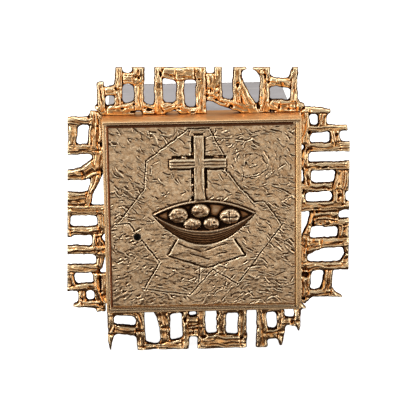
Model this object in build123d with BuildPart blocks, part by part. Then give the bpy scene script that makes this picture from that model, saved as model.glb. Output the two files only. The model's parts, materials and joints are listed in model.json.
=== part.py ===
from build123d import *
import os

# Wall tabernacle: a steel strongbox behind a square bronze collar, an inset
# hinged door with a cast relief, and four pierced branch castings round the
# collar. Millimetres, +Z up. The origin is the centre of the back plate's rear
# face, which lies against the wall; the front faces -Y.

# Driving dimensions
DEPTH = 330.0                 # collar's front face to the wall
COLLAR = 300.0                # outside of the square collar
COLLAR_LENGTH = 74.0
COLLAR_LIP = 4.0              # wall thickness beside the door
COLLAR_EDGE = 0.8             # bevel on the front edge
STEP = 14.0                   # depth of the door recess
BOX = 286.0                   # outside of the strongbox
BOX_WALL = 3.0
BACK_PLATE = 4.0
STOP_OPENING = 262.0          # clear opening inside the door stop
LINER = 1.2
WALL_BOLT_SPACING = 200.0
WALL_BOLT_RADIUS = 4.5
BOLT_ACCESS_RADIUS = 9.0

# Door, measured from the collar's front face back
DOOR_HALF = 145.2             # left, top and bottom edges
DOOR_RIGHT = 143.0            # hinge edge
DOOR_BACK = 12.0
TRAY_PLATE = 4.0
TRAY_INSIDE = 141.6
TRAY_INSIDE_RIGHT = 140.2
PANEL_FACE = 2.5
PANEL_GAP = 0.2

# Hinge
HINGE_X = 143.5
HINGE_BEHIND = 0.4            # pin axis behind the front face
KNUCKLE_RADIUS = 2.2
PIN_RADIUS = 0.9
PIN_FIT = 0.05
HINGE_LENGTH = 288.0
END_KNUCKLE = 51.6
KNUCKLE_GAP = 0.3
LEAF = 1.2
LEAF_BACK = 12.0
LEAF_RELIEF = 2.95            # where a leaf starts beside the other leaf's knuckles
FIXED_LEAF_X = COLLAR / 2 - COLLAR_LIP - LEAF
HINGE_SCREW_HEIGHTS = (-120, -60, 0, 60, 120)
HINGE_SCREW_BEHIND = 7.5
HINGE_HEAD_RADIUS = 1.8
HINGE_SHANK_RADIUS = 1.1
FIXED_SHANK = 3.2             # screw length past the leaf, in the collar
DOOR_SHANK = 2.6              # and in the door

# Lock
KEY_X, KEY_Z = -100.5, -30.0
PLUG_RADIUS = 5.0
BUSH_RADIUS = 5.7
PLUG_FACE = 5.2
CRANK = 6.0                   # crank pin's throw radius
CRANK_PIN = 1.5
CRANK_OFFSET = CRANK * 2 ** -0.5    # each way from the plug's axis, at 45 degrees
CAM_RADIUS = 8.5
CAM_FRONT, CAM_BACK = 13.0, 18.5
BOLT_FRONT, BOLT_BACK = 19.2, 23.2
BOLT_LEFT, BOLT_RIGHT = -129.0, -81.0
BOLT_LOW, BOLT_HIGH = -38.0, -16.0
BOLT_FIT = 0.1
BOLT_NOSE = 1.0               # bevel on the nose's upright edges
SLOT_PLAY = 0.3
CASE_LEFT, CASE_RIGHT = -128.0, -76.0
CASE_LOW, CASE_HIGH = -56.0, -4.0
CASE_WALL = 3.0
CASE_BACK = 26.0
COVER = 2.0

# Castings
CAST_FRONT = 46.0             # ridge tops behind the collar's front face
CAST_BODY = 50.0
CAST_BACK = 62.0
CAST_REACH = 240.0            # beyond every branch tip
RIDGE_SHARE = 0.6             # ridge width over branch width
MITRE = 0.85                  # half the gap between two castings at a corner
CAST_SCREW_BEHIND = 54.0
CAST_SCREW_RADIUS = 2.5
CAST_SCREW_END = 158.0
CAST_HEAD_RADIUS = 4.6
CAST_HEAD = 2.0
CAST_SCREW_FIT = 0.05

# Each branch is a chain of stations: x, z, width.
TOP_BRANCHES = [
    [(-150.5, 150, 15), (-151.5, 203, 11)],
    [(-146, 188, 14), (-128, 190, 15)],
    [(-124, 158, 12), (-124.5, 190, 13), (-123, 225, 10.5)],
    [(-118, 208, 17), (-100, 208, 18)],
    [(-93.5, 158, 15), (-93.5, 198, 16), (-94.5, 225, 21)],
    [(-163, 160, 14), (-145, 158, 18), (-100, 160, 24)],
    [(-88, 159, 20), (-70, 157, 17)],
    [(-63.5, 148, 16), (-64, 190, 14.5), (-63.5, 225, 13.5)],
    [(-60, 160, 18), (-38, 165, 12), (-24, 155, 14)],
    [(-30, 155, 16), (-5, 155, 16)],
    [(-31, 158, 13), (-31, 204, 13)],
    [(-57, 217, 15), (-38, 213, 21), (-8, 214, 19)],
    [(0.5, 148, 17), (0.5, 223, 16)],
    [(19, 176, 20), (18, 213, 20)],
    [(27, 172, 12), (27, 222, 12)],
    [(11, 178, 10), (40, 167, 14), (82, 154, 18)],
    [(56, 165, 15), (56, 222, 14)],
    [(54, 218, 8), (70, 220, 4)],
    [(58, 200, 12), (77, 160, 18)],
    [(62, 155, 15), (96, 157, 18)],
    [(98, 148, 17), (98, 221, 15)],
    [(98, 214, 14), (80, 221, 3)],
    [(104, 200, 15), (138, 194.5, 13)],
    [(142, 166, 12), (143.5, 220.5, 8)],
    [(135, 199, 6), (142, 214, 9)],
    [(105, 166, 14), (120, 160, 23), (145, 159, 20), (159, 160, 8)],
]
RIGHT_BRANCHES = [
    [(157, 157, 18), (158, 100, 21)],
    [(158, 154, 13), (199, 151.5, 8)],
    [(186, 150, 15), (186, 128, 14)],
    [(163, 124, 13), (225, 125.5, 9)],
    [(205, 122, 16), (206, 100, 18)],
    [(158, 95, 15), (228, 95.5, 17)],
    [(160, 92, 11), (157, 62, 18)],
    [(158, 65, 15), (228, 65, 14)],
    [(163.5, 65, 13), (163.5, 35, 13)],
    [(218, 60, 20), (214, 26, 28)],
    [(149, 31, 16), (202, 32.5, 15)],
    [(212, 30, 21), (212, 5, 22)],
    [(154.5, 30, 13), (154.5, 5, 13)],
    [(148, 1, 17), (228, 1.5, 15.5)],
    [(172, -19, 24), (212, -19, 24)],
    [(190, -25, 12), (228, -25, 12)],
    [(172, -8, 6), (167, -28, 8), (161, -45, 14), (156, -62, 18), (156, -90, 15)],
    [(220, -22, 18), (219, -50, 18)],
    [(161, -63, 28), (185, -58, 19), (228, -56, 15)],
    [(223.5, -50, 10), (224.5, -75, 8), (220, -100, 18)],
    [(149, -96, 16), (228, -95, 14)],
    [(159.5, -100, 21), (159, -146, 19), (158, -157, 7)],
    [(197, -100, 14), (192.5, -138, 19)],
    [(160, -140, 13), (200, -139.5, 14), (219, -146, 2)],
]
BOTTOM_BRANCHES = [
    [(-145, -148, 11), (-145.5, -200, 11.5), (-147, -226, 2)],
    [(-152, -159, 20), (-100, -160, 24)],
    [(-140, -192.5, 16), (-106, -196, 17)],
    [(-99.5, -148, 16), (-99.5, -195, 15), (-97, -228, 14)],
    [(-100, -153, 11), (-70, -153, 11)],
    [(-67, -148, 30), (-60.5, -190, 17), (-60, -215, 16)],
    [(-96, -221, 14), (-78, -223, 10), (-34, -219, 19)],
    [(-60, -159, 20), (-25, -158, 18), (0, -156, 15)],
    [(-28, -165, 10), (-28.5, -228, 11)],
    [(-3, -148, 13), (-3, -228, 14)],
    [(-25, -190, 34), (-8, -190, 36)],
    [(-5, -215, 27), (66, -217, 23)],
    [(28.5, -148, 16), (28.5, -205, 14)],
    [(30, -159, 20), (66, -159, 20)],
    [(0, -153, 11), (30, -153, 11)],
    [(61.5, -148, 14), (60.5, -228, 14)],
    [(66, -155, 14), (86, -155, 14)],
    [(91.5, -148, 15), (92, -228, 19)],
    [(98, -205, 18), (118, -204, 18)],
    [(121, -168, 13), (123, -200, 13), (121.5, -226, 5)],
    [(90, -159, 21), (124, -159, 22)],
    [(120, -153, 11), (148, -153, 11)],
    [(122, -184, 13), (146, -187, 15)],
    [(148, -148, 12), (148.5, -185, 11), (150, -201, 2)],
    [(148, -158, 14), (161, -164, 3)],
]
LEFT_BRANCHES = [
    [(-203, 143.5, 13), (-163, 143, 13)],
    [(-195, 140, 17), (-197.5, 104, 13)],
    [(-158, 158, 20), (-161, 96, 27)],
    [(-204.5, 99.5, 15), (-155, 98, 17)],
    [(-206, 58, 16), (-182, 61, 22), (-162, 72, 24)],
    [(-157, 98, 18), (-160, 60, 18), (-172, 28, 10), (-178, 8, 9)],
    [(-208, 22, 22), (-177, 22, 20)],
    [(-208.5, 3, 18), (-148, 2, 17)],
    [(-206.5, 0, 5), (-206.5, -40, 6)],
    [(-155, 0, 14), (-156, -36, 12)],
    [(-209, -30.5, 15), (-155, -30, 14)],
    [(-164.5, -33, 12), (-160, -62, 22)],
    [(-210.5, -61, 14.5), (-148, -61, 16)],
    [(-157, -62, 18), (-161, -92, 10)],
    [(-211, -91, 16), (-160, -92, 13)],
    [(-206, -95, 13), (-205, -120, 14)],
    [(-160, -99, 22), (-159.5, -155, 20)],
    [(-212, -121.5, 13), (-165, -121.5, 13)],
    [(-189, -125, 12), (-188, -146, 13)],
    [(-204, -151, 4), (-190, -149, 12), (-160, -150, 15)],
    [(-159.5, -150, 16), (-159.5, -163, 15)],
]
TOP_SCREWS_X = (-125, -63.5, 0.5, 98)
BOTTOM_SCREWS_X = (-115, -55, 28.5, 107)
LEFT_SCREWS_Z = (130, 2, -61, -125)
RIGHT_SCREWS_Z = (125, 1, -75, -125)

HALF = COLLAR / 2
HEAD_FACE = BOX / 2 - BOX_WALL
HINGE_SCREWS = [(HINGE_SCREW_BEHIND - DEPTH, z) for z in HINGE_SCREW_HEIGHTS]


def behind(distance):
    """Upright plane facing the viewer, this far behind the collar's front face."""
    return Plane.XZ.offset(DEPTH - distance)


def side_plane(x):
    """Upright plane square to X, with local axes Y and Z."""
    return Plane.YZ.offset(x)


def y_behind(distance):
    return distance - DEPTH


def span(low, high, front, back, mode=Mode.ADD):
    """Box in the current part between two X-Z corners and two distances behind the face."""
    with BuildSketch(behind(front)) as profile:
        with Locations(((low[0] + high[0]) / 2, (low[1] + high[1]) / 2)):
            Rectangle(high[0] - low[0], high[1] - low[1])
    extrude(profile.sketch, amount=front - back, mode=mode)


def rods(plane, places, radius, length, mode=Mode.ADD):
    """Round bars, or holes, that start on a plane and run along its normal."""
    with BuildSketch(plane) as profile:
        with Locations(*places):
            Circle(radius)
    extrude(profile.sketch, amount=length, mode=mode)


def tapered_bar(start, end, share=1.0):
    """Four-sided bar in the current sketch between two stations."""
    along = (Vector(end[0], end[1]) - Vector(start[0], start[1])).normalized()
    across = Vector(-along.Y, along.X)
    corners = []
    for station, side in ((start, 1), (end, 1), (end, -1), (start, -1)):
        corner = Vector(station[0], station[1]) + across * (side * share * station[2] / 2)
        corners.append((corner.X, corner.Y))
    Polygon(*corners, align=None)


def lattice(branches, sector, share=1.0):
    """Sketch of every branch, kept inside the casting's own sector."""
    for stations in branches:
        for start, end in zip(stations[:-1], stations[1:]):
            tapered_bar(start, end, share)
        for x, z, width in stations[1:-1]:
            with Locations((x, z)):
                Circle(share * width / 2)
    Polygon(*sector, align=None, mode=Mode.INTERSECT)


def keep(name, part):
    part.label = name
    export_step(part, f"parts/{name}.step")


os.makedirs("parts", exist_ok=True)

# The four sides of the collar: a plane through the middle and the screw centres
# in it, in X and Y above and below and in Y and Z at the sides.
SCREW_Y = y_behind(CAST_SCREW_BEHIND)
SIDES = {
    "top": (Plane.XY, [(x, SCREW_Y) for x in TOP_SCREWS_X]),
    "bottom": (Plane.XY, [(x, SCREW_Y) for x in BOTTOM_SCREWS_X]),
    "left": (Plane.YZ, [(SCREW_Y, z) for z in LEFT_SCREWS_Z]),
    "right": (Plane.YZ, [(SCREW_Y, z) for z in RIGHT_SCREWS_Z]),
}
OUTWARD = {"top": 1, "bottom": -1, "left": -1, "right": 1}
BRANCHES = {
    "top": TOP_BRANCHES,
    "bottom": BOTTOM_BRANCHES,
    "left": LEFT_BRANCHES,
    "right": RIGHT_BRANCHES,
}
SECTORS = {
    "top": [(-HALF + MITRE, HALF), (HALF - MITRE, HALF),
            (CAST_REACH - MITRE, CAST_REACH), (-CAST_REACH + MITRE, CAST_REACH)],
    "right": [(HALF, HALF - MITRE), (HALF, -HALF + MITRE),
              (CAST_REACH, -CAST_REACH + MITRE), (CAST_REACH, CAST_REACH - MITRE)],
    "bottom": [(HALF - MITRE, -HALF), (CAST_REACH - MITRE, -CAST_REACH),
               (-HALF - MITRE, -CAST_REACH), (-HALF - MITRE, -HALF)],
    "left": [(-HALF, HALF - MITRE), (-CAST_REACH, CAST_REACH - MITRE),
             (-CAST_REACH, -CAST_REACH), (-HALF - 3 * MITRE, -CAST_REACH),
             (-HALF - 3 * MITRE, -HALF), (-HALF, -HALF)],
}


def side_plane_at(side, distance):
    plane = SIDES[side][0]
    return plane.offset(OUTWARD[side] * distance)


def bore_side(side, start, end, radius):
    """Round holes through one side between two distances from the centre line."""
    length = OUTWARD[side] * (end - start)
    rods(side_plane_at(side, start), SIDES[side][1], radius, length, Mode.SUBTRACT)


# Collar: a square tube with a recess at the front for the door
with BuildPart() as front_collar:
    with BuildSketch(behind(0)):
        Rectangle(COLLAR, COLLAR)
        Rectangle(COLLAR - 2 * COLLAR_LIP, COLLAR - 2 * COLLAR_LIP, mode=Mode.SUBTRACT)
    extrude(amount=-STEP)
    with BuildSketch(behind(STEP)):
        Rectangle(COLLAR, COLLAR)
        Rectangle(BOX, BOX, mode=Mode.SUBTRACT)
    extrude(amount=STEP - COLLAR_LENGTH)
    front_face = front_collar.faces().sort_by(Axis.Y)[0]
    chamfer(front_face.outer_wire().edges(), COLLAR_EDGE)
    for side in SIDES:
        bore_side(side, BOX / 2, HALF, CAST_SCREW_RADIUS + CAST_SCREW_FIT)
    rods(side_plane(HALF - COLLAR_LIP), HINGE_SCREWS, HINGE_SHANK_RADIUS,
         FIXED_SHANK, Mode.SUBTRACT)
keep("front_collar", front_collar.part)

# Strongbox: welded shell with a door stop turned in at the front
STRIKE_LEFT, STRIKE_RIGHT = -138.0, -131.5
STRIKE_LOW, STRIKE_HIGH = -54.0, -6.0
STRIKE = 2.0
STRIKE_SCREWS = [(-135.0, -48.0), (-135.0, -12.0)]
STRIKE_HEAD_RADIUS, STRIKE_SHANK_RADIUS, STRIKE_HEAD = 2.6, 1.5, 1.4
STOP_BACK = STEP + BOX_WALL
BOX_BACK = DEPTH - BACK_PLATE
with BuildPart() as strongbox_shell:
    with BuildSketch(behind(STEP)):
        Rectangle(BOX, BOX)
        Rectangle(BOX - 2 * BOX_WALL, BOX - 2 * BOX_WALL, mode=Mode.SUBTRACT)
    extrude(amount=STEP - BOX_BACK)
    with BuildSketch(behind(STEP)):
        Rectangle(BOX - 2 * BOX_WALL, BOX - 2 * BOX_WALL)
        Rectangle(STOP_OPENING, STOP_OPENING, mode=Mode.SUBTRACT)
    extrude(amount=-BOX_WALL)
    for side in SIDES:
        bore_side(side, HEAD_FACE, BOX / 2, CAST_SCREW_RADIUS + CAST_SCREW_FIT)
        bore_side(side, HEAD_FACE, HEAD_FACE + CAST_HEAD, CAST_HEAD_RADIUS + CAST_SCREW_FIT)
    rods(behind(STEP), STRIKE_SCREWS, STRIKE_HEAD_RADIUS, -STRIKE_HEAD, Mode.SUBTRACT)
    rods(behind(STEP), STRIKE_SCREWS, STRIKE_SHANK_RADIUS, -BOX_WALL, Mode.SUBTRACT)
keep("strongbox_shell", strongbox_shell.part)

with BuildPart() as strongbox_back:
    with BuildSketch(behind(BOX_BACK)):
        Rectangle(BOX, BOX)
        with GridLocations(WALL_BOLT_SPACING, WALL_BOLT_SPACING, 2, 2):
            Circle(WALL_BOLT_RADIUS, mode=Mode.SUBTRACT)
    extrude(amount=-BACK_PLATE)
    chamfer(strongbox_back.edges().filter_by(Axis.Y), COLLAR_EDGE)
keep("strongbox_back", strongbox_back.part)

# Gilt liner: an open tray standing inside the shell
LINER_OUT = BOX - 2 * BOX_WALL
with BuildPart() as inner_liner:
    with BuildSketch(behind(STOP_BACK)):
        Rectangle(LINER_OUT, LINER_OUT)
        Rectangle(LINER_OUT - 2 * LINER, LINER_OUT - 2 * LINER, mode=Mode.SUBTRACT)
    extrude(amount=STOP_BACK - BOX_BACK)
    with BuildSketch(behind(BOX_BACK - LINER)):
        Rectangle(LINER_OUT, LINER_OUT)
        with GridLocations(WALL_BOLT_SPACING, WALL_BOLT_SPACING, 2, 2):
            Circle(BOLT_ACCESS_RADIUS, mode=Mode.SUBTRACT)
    extrude(amount=-LINER)
keep("inner_liner", inner_liner.part)

# Strike plate behind the left door stop, with its two screws
with BuildPart() as strike_plate:
    span((STRIKE_LEFT, STRIKE_LOW), (STRIKE_RIGHT, STRIKE_HIGH), STOP_BACK, STOP_BACK + STRIKE)
    rods(behind(STOP_BACK), STRIKE_SCREWS, STRIKE_SHANK_RADIUS, -STRIKE, Mode.SUBTRACT)
keep("strike_plate", strike_plate.part)

with BuildPart() as strike_screws:
    rods(behind(STEP), STRIKE_SCREWS, STRIKE_HEAD_RADIUS, -STRIKE_HEAD)
    rods(behind(STEP + STRIKE_HEAD), STRIKE_SCREWS, STRIKE_SHANK_RADIUS,
         STRIKE_HEAD - BOX_WALL - STRIKE)
keep("strike_screws", strike_screws.part)

# Branch castings: a pierced body with a ridge along every branch
for side in SIDES:
    with BuildPart() as casting:
        with BuildSketch(behind(CAST_BODY)):
            lattice(BRANCHES[side], SECTORS[side])
        extrude(amount=CAST_BODY - CAST_BACK)
        with BuildSketch(behind(CAST_FRONT)):
            lattice(BRANCHES[side], SECTORS[side], RIDGE_SHARE)
        extrude(amount=CAST_FRONT - CAST_BODY)
        bore_side(side, HALF, CAST_SCREW_END, CAST_SCREW_RADIUS + CAST_SCREW_FIT)
    keep(f"ornament_{side}", casting.part)

    with BuildPart() as cast_screws:
        rods(side_plane_at(side, HEAD_FACE), SIDES[side][1], CAST_HEAD_RADIUS,
             OUTWARD[side] * CAST_HEAD)
        rods(side_plane_at(side, HEAD_FACE + CAST_HEAD), SIDES[side][1], CAST_SCREW_RADIUS,
             OUTWARD[side] * (CAST_SCREW_END - HEAD_FACE - CAST_HEAD))
    keep(f"ornament_screws_{side}", cast_screws.part)

# Hinge: five knuckles, the outer and middle ones on the collar
MIDDLE_KNUCKLE = (HINGE_LENGTH - 2 * END_KNUCKLE) / 3
KNUCKLE_TOPS = [HINGE_LENGTH / 2]
for length in (END_KNUCKLE, MIDDLE_KNUCKLE, MIDDLE_KNUCKLE, MIDDLE_KNUCKLE, END_KNUCKLE):
    KNUCKLE_TOPS.append(KNUCKLE_TOPS[-1] - length)
KNUCKLES = [
    (low + KNUCKLE_GAP / 2, high - KNUCKLE_GAP / 2)
    for high, low in zip(KNUCKLE_TOPS[:-1], KNUCKLE_TOPS[1:])
]
HINGE_Y = y_behind(HINGE_BEHIND)


def hinge_leaf(leaf_x, knuckles, root_behind):
    """Leaf plate with its own knuckles; root_behind is where the plate leaves the barrel."""
    span((leaf_x, -HINGE_LENGTH / 2), (leaf_x + LEAF, HINGE_LENGTH / 2), LEAF_RELIEF, LEAF_BACK)
    for low, high in knuckles:
        rods(Plane.XY.offset(low), [(HINGE_X, HINGE_Y)], KNUCKLE_RADIUS, high - low)
        span((leaf_x, low), (leaf_x + LEAF, high), root_behind, LEAF_RELIEF)
    rods(Plane.XY.offset(-HINGE_LENGTH / 2), [(HINGE_X, HINGE_Y)], PIN_RADIUS + PIN_FIT,
         HINGE_LENGTH, Mode.SUBTRACT)
    rods(side_plane(leaf_x), HINGE_SCREWS, HINGE_HEAD_RADIUS, LEAF, Mode.SUBTRACT)


def hinge_screws(head_x, toward, shank):
    """Flush-headed screws through one leaf, pointing along +X or -X."""
    rods(side_plane(head_x), HINGE_SCREWS, HINGE_HEAD_RADIUS, toward * LEAF)
    rods(side_plane(head_x + toward * LEAF), HINGE_SCREWS, HINGE_SHANK_RADIUS, toward * shank)


with BuildPart() as hinge_leaf_fixed:
    hinge_leaf(FIXED_LEAF_X, KNUCKLES[0::2], HINGE_BEHIND)
keep("hinge_leaf_fixed", hinge_leaf_fixed.part)

with BuildPart() as hinge_leaf_door:
    hinge_leaf(DOOR_RIGHT, KNUCKLES[1::2], HINGE_BEHIND + PIN_RADIUS + PIN_FIT)
keep("hinge_leaf_door", hinge_leaf_door.part)

PIN_HEAD = 1.2
with BuildPart() as hinge_pin:
    rods(Plane.XY.offset(-HINGE_LENGTH / 2), [(HINGE_X, HINGE_Y)], PIN_RADIUS, HINGE_LENGTH)
    for level in (-HINGE_LENGTH / 2 - PIN_HEAD, HINGE_LENGTH / 2):
        rods(Plane.XY.offset(level), [(HINGE_X, HINGE_Y)], KNUCKLE_RADIUS, PIN_HEAD)
keep("hinge_pin", hinge_pin.part)

with BuildPart() as hinge_screws_fixed:
    hinge_screws(FIXED_LEAF_X, 1, FIXED_SHANK)
keep("hinge_screws_fixed", hinge_screws_fixed.part)

with BuildPart() as hinge_screws_door:
    hinge_screws(DOOR_RIGHT + LEAF, -1, DOOR_SHANK)
keep("hinge_screws_door", hinge_screws_door.part)

# Door tray: back plate with a raised rim on three sides and a low hinge edge
PANEL_SCREWS = [(-110, 112), (0, 112), (110, 112), (-60, -112), (30, -112), (110, -112)]
PANEL_SHANK_RADIUS, PANEL_HEAD_RADIUS, PANEL_HEAD = 2.0, 3.6, 1.8
PANEL_SHANK_END = 4.6
LOCK_SCREWS = [(-121, -49), (-121, -11), (-83, -49), (-83, -11)]
LOCK_SHANK_RADIUS, LOCK_HEAD_RADIUS, LOCK_HEAD = 1.6, 2.8, 1.4
PLATE_FACE = DOOR_BACK - TRAY_PLATE
with BuildPart() as door_tray:
    span((-DOOR_HALF, -DOOR_HALF), (DOOR_RIGHT, DOOR_HALF), 0, DOOR_BACK)
    span((-TRAY_INSIDE, -TRAY_INSIDE), (TRAY_INSIDE_RIGHT, TRAY_INSIDE), 0, PLATE_FACE, Mode.SUBTRACT)
    span((TRAY_INSIDE_RIGHT, -DOOR_HALF), (DOOR_RIGHT, DOOR_HALF), 0, LEAF_RELIEF, Mode.SUBTRACT)
    with BuildSketch(behind(PLATE_FACE)):
        with Locations((KEY_X, KEY_Z)):
            Circle(BUSH_RADIUS)
        with Locations(*PANEL_SCREWS):
            Circle(PANEL_SHANK_RADIUS)
        with Locations(*LOCK_SCREWS):
            Circle(LOCK_SHANK_RADIUS)
    extrude(amount=-TRAY_PLATE, mode=Mode.SUBTRACT)
    rods(side_plane(DOOR_RIGHT), HINGE_SCREWS, HINGE_SHANK_RADIUS, -DOOR_SHANK, Mode.SUBTRACT)
keep("door_tray", door_tray.part)

# Relief panel: cross, boat-shaped bowl with five loaves, and the cloth under it
CROSS_X, CROSS_TOP, CROSS_FOOT = -5.0, 127.0, 20.0
CROSS_WIDTH, CROSS_RISE = 15.0, 5.0
ARM_LEFT, ARM_RIGHT, ARM_Z = -50.0, 37.0, 83.5
ARM_RISE = 4.0
BOWL_LEFT, BOWL_RIGHT = (-77.0, 6.0), (80.0, 5.0)
BOWL_BACK, BOWL_FRONT, BOWL_KEEL = (0.0, 26.0), (0.0, -21.0), (2.0, -42.0)
BACK_LEFT, BACK_RIGHT = (-75.0, 3.7), (78.0, 2.8)
BACK_RIM = (0.0, 17.0)
BACK_RISE, BAND_RISE = 3.0, 7.0
LOAVES = [
    (-38.5, 4.0, 12.5, 11.0),
    (-4.0, 10.5, 12.5, 9.0),
    (-16.5, -10.0, 12.0, 8.5),
    (12.0, -10.0, 12.0, 8.5),
    (40.5, 0.5, 14.0, 11.0),
]
LOAF_RISE, LOAF_BEVEL = 6.5, 3.5
CLOTH = [(-38, -33), (-54, -60), (5, -80), (63, -61), (45, -34)]
CLOTH_RISE = 2.5
OUTLINE = [
    (-21, 137), (-85, 89), (-89, 45), (-132, -10), (-113, -8), (-68, -71), (-92, -113),
    (-21, -124), (14, -84), (52, -108), (120, -16), (104, 9), (94, 22), (79, 22),
    (52, 50), (36, 73), (33, 95), (11, 138), (-21, 137),
]
OUTLINE_WIDTH, OUTLINE_DEPTH = 1.4, 0.8


def bowed_face(left, right, upper, lower):
    """Crescent in the current sketch between two arcs that share their ends."""
    with BuildLine() as rim:
        ThreePointArc(left, upper, right)
        ThreePointArc(right, lower, left)
    make_face(rim.edges())


with BuildPart() as relief_panel:
    inside = TRAY_INSIDE - PANEL_GAP
    span((-inside, -inside), (TRAY_INSIDE_RIGHT - PANEL_GAP, inside), PANEL_FACE, PLATE_FACE)
    for x, z, half_width, half_height in LOAVES:
        with BuildSketch(behind(PANEL_FACE)):
            with Locations((x, z)):
                SlotOverall(2 * half_width, 2 * half_height)
        extrude(amount=LOAF_RISE)
    loaf_tops = relief_panel.faces().group_by(Axis.Y)[0]
    chamfer(loaf_tops.edges(), LOAF_BEVEL)
    with BuildSketch(behind(PANEL_FACE)):
        for start, end in zip(OUTLINE[:-1], OUTLINE[1:]):
            tapered_bar((*start, OUTLINE_WIDTH), (*end, OUTLINE_WIDTH))
    extrude(amount=-OUTLINE_DEPTH, mode=Mode.SUBTRACT)
    span((CROSS_X - CROSS_WIDTH / 2, CROSS_FOOT), (CROSS_X + CROSS_WIDTH / 2, CROSS_TOP),
         PANEL_FACE - CROSS_RISE, PANEL_FACE)
    span((ARM_LEFT, ARM_Z - CROSS_WIDTH / 2), (ARM_RIGHT, ARM_Z + CROSS_WIDTH / 2),
         PANEL_FACE - ARM_RISE, PANEL_FACE)
    with BuildSketch(behind(PANEL_FACE)):
        Polygon(*CLOTH, align=None)
    extrude(amount=CLOTH_RISE)
    with BuildSketch(behind(PANEL_FACE)):
        bowed_face(BACK_LEFT, BACK_RIGHT, BOWL_BACK, BACK_RIM)
    extrude(amount=BACK_RISE)
    with BuildSketch(behind(PANEL_FACE)):
        bowed_face(BOWL_LEFT, BOWL_RIGHT, BOWL_FRONT, BOWL_KEEL)
    extrude(amount=BAND_RISE)
    rods(behind(-BAND_RISE), [(KEY_X, KEY_Z)], BUSH_RADIUS, -BAND_RISE - PLATE_FACE, Mode.SUBTRACT)
    rods(behind(PLATE_FACE), PANEL_SCREWS, PANEL_SHANK_RADIUS,
         PLATE_FACE - PANEL_SHANK_END, Mode.SUBTRACT)
keep("relief_panel", relief_panel.part)

with BuildPart() as panel_screws:
    rods(behind(DOOR_BACK), PANEL_SCREWS, PANEL_HEAD_RADIUS, -PANEL_HEAD)
    rods(behind(DOOR_BACK), PANEL_SCREWS, PANEL_SHANK_RADIUS, DOOR_BACK - PANEL_SHANK_END)
keep("panel_screws", panel_screws.part)

# Keyhole bush and the turning plug inside it
BUSH_FACE = 3.3
KEY_SLOT_WIDTH, KEY_SLOT_HEIGHT, KEY_SLOT_DEPTH = 1.6, 6.5, 5.0
with BuildPart() as keyhole_bush:
    with BuildSketch(behind(BUSH_FACE)):
        with Locations((KEY_X, KEY_Z)):
            Circle(BUSH_RADIUS)
            Circle(PLUG_RADIUS + PIN_FIT, mode=Mode.SUBTRACT)
    extrude(amount=BUSH_FACE - DOOR_BACK)
keep("keyhole_bush", keyhole_bush.part)

with BuildPart() as lock_plug:
    rods(behind(PLUG_FACE), [(KEY_X, KEY_Z)], PLUG_RADIUS, PLUG_FACE - CAM_FRONT)
    rods(behind(CAM_FRONT), [(KEY_X, KEY_Z)], CAM_RADIUS, CAM_FRONT - CAM_BACK)
    rods(behind(CAM_BACK), [(KEY_X + CRANK_OFFSET, KEY_Z + CRANK_OFFSET)], CRANK_PIN,
         CAM_BACK - BOLT_BACK)
    with BuildSketch(behind(PLUG_FACE)):
        with Locations((KEY_X, KEY_Z)):
            Rectangle(KEY_SLOT_WIDTH, KEY_SLOT_HEIGHT)
    extrude(amount=-KEY_SLOT_DEPTH, mode=Mode.SUBTRACT)
keep("lock_plug", lock_plug.part)

# Lock case: four walls with screw posts and two bolt guides, open at both ends
GUIDE_LEFT, GUIDE_RIGHT = -91.0, -86.0
GUIDE_FRONT = 17.0
GUIDE_GRIP = 3.0              # how far a guide reaches over the bolt's edge
POST_RADIUS = 4.6
CASE_INNER_LOW, CASE_INNER_HIGH = CASE_LOW + CASE_WALL, CASE_HIGH - CASE_WALL
with BuildPart() as lock_case:
    span((CASE_LEFT, CASE_LOW), (CASE_RIGHT, CASE_HIGH), DOOR_BACK, CASE_BACK)
    span((CASE_LEFT + CASE_WALL, CASE_INNER_LOW), (CASE_RIGHT - CASE_WALL, CASE_INNER_HIGH),
         DOOR_BACK, CASE_BACK, Mode.SUBTRACT)
    span((GUIDE_LEFT, CASE_INNER_LOW), (GUIDE_RIGHT, BOLT_LOW + GUIDE_GRIP), GUIDE_FRONT, CASE_BACK)
    span((GUIDE_LEFT, BOLT_HIGH - GUIDE_GRIP), (GUIDE_RIGHT, CASE_INNER_HIGH), GUIDE_FRONT, CASE_BACK)
    rods(behind(DOOR_BACK), LOCK_SCREWS, POST_RADIUS, DOOR_BACK - CASE_BACK)
    span((CASE_LEFT, BOLT_LOW - BOLT_FIT), (CASE_RIGHT - CASE_WALL, BOLT_HIGH + BOLT_FIT),
         BOLT_FRONT - BOLT_FIT, BOLT_BACK + BOLT_FIT, Mode.SUBTRACT)
    rods(behind(DOOR_BACK), LOCK_SCREWS, LOCK_SHANK_RADIUS, DOOR_BACK - CASE_BACK, Mode.SUBTRACT)
keep("lock_case", lock_case.part)

with BuildPart() as lock_cover:
    span((CASE_LEFT, CASE_LOW), (CASE_RIGHT, CASE_HIGH), CASE_BACK, CASE_BACK + COVER)
    rods(behind(CASE_BACK), LOCK_SCREWS, LOCK_SHANK_RADIUS, -COVER, Mode.SUBTRACT)
keep("lock_cover", lock_cover.part)

with BuildPart() as lock_screws:
    rods(behind(CASE_BACK + COVER), LOCK_SCREWS, LOCK_HEAD_RADIUS, -LOCK_HEAD)
    rods(behind(PLATE_FACE), LOCK_SCREWS, LOCK_SHANK_RADIUS, PLATE_FACE - CASE_BACK - COVER)
keep("lock_screws", lock_screws.part)

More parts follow.
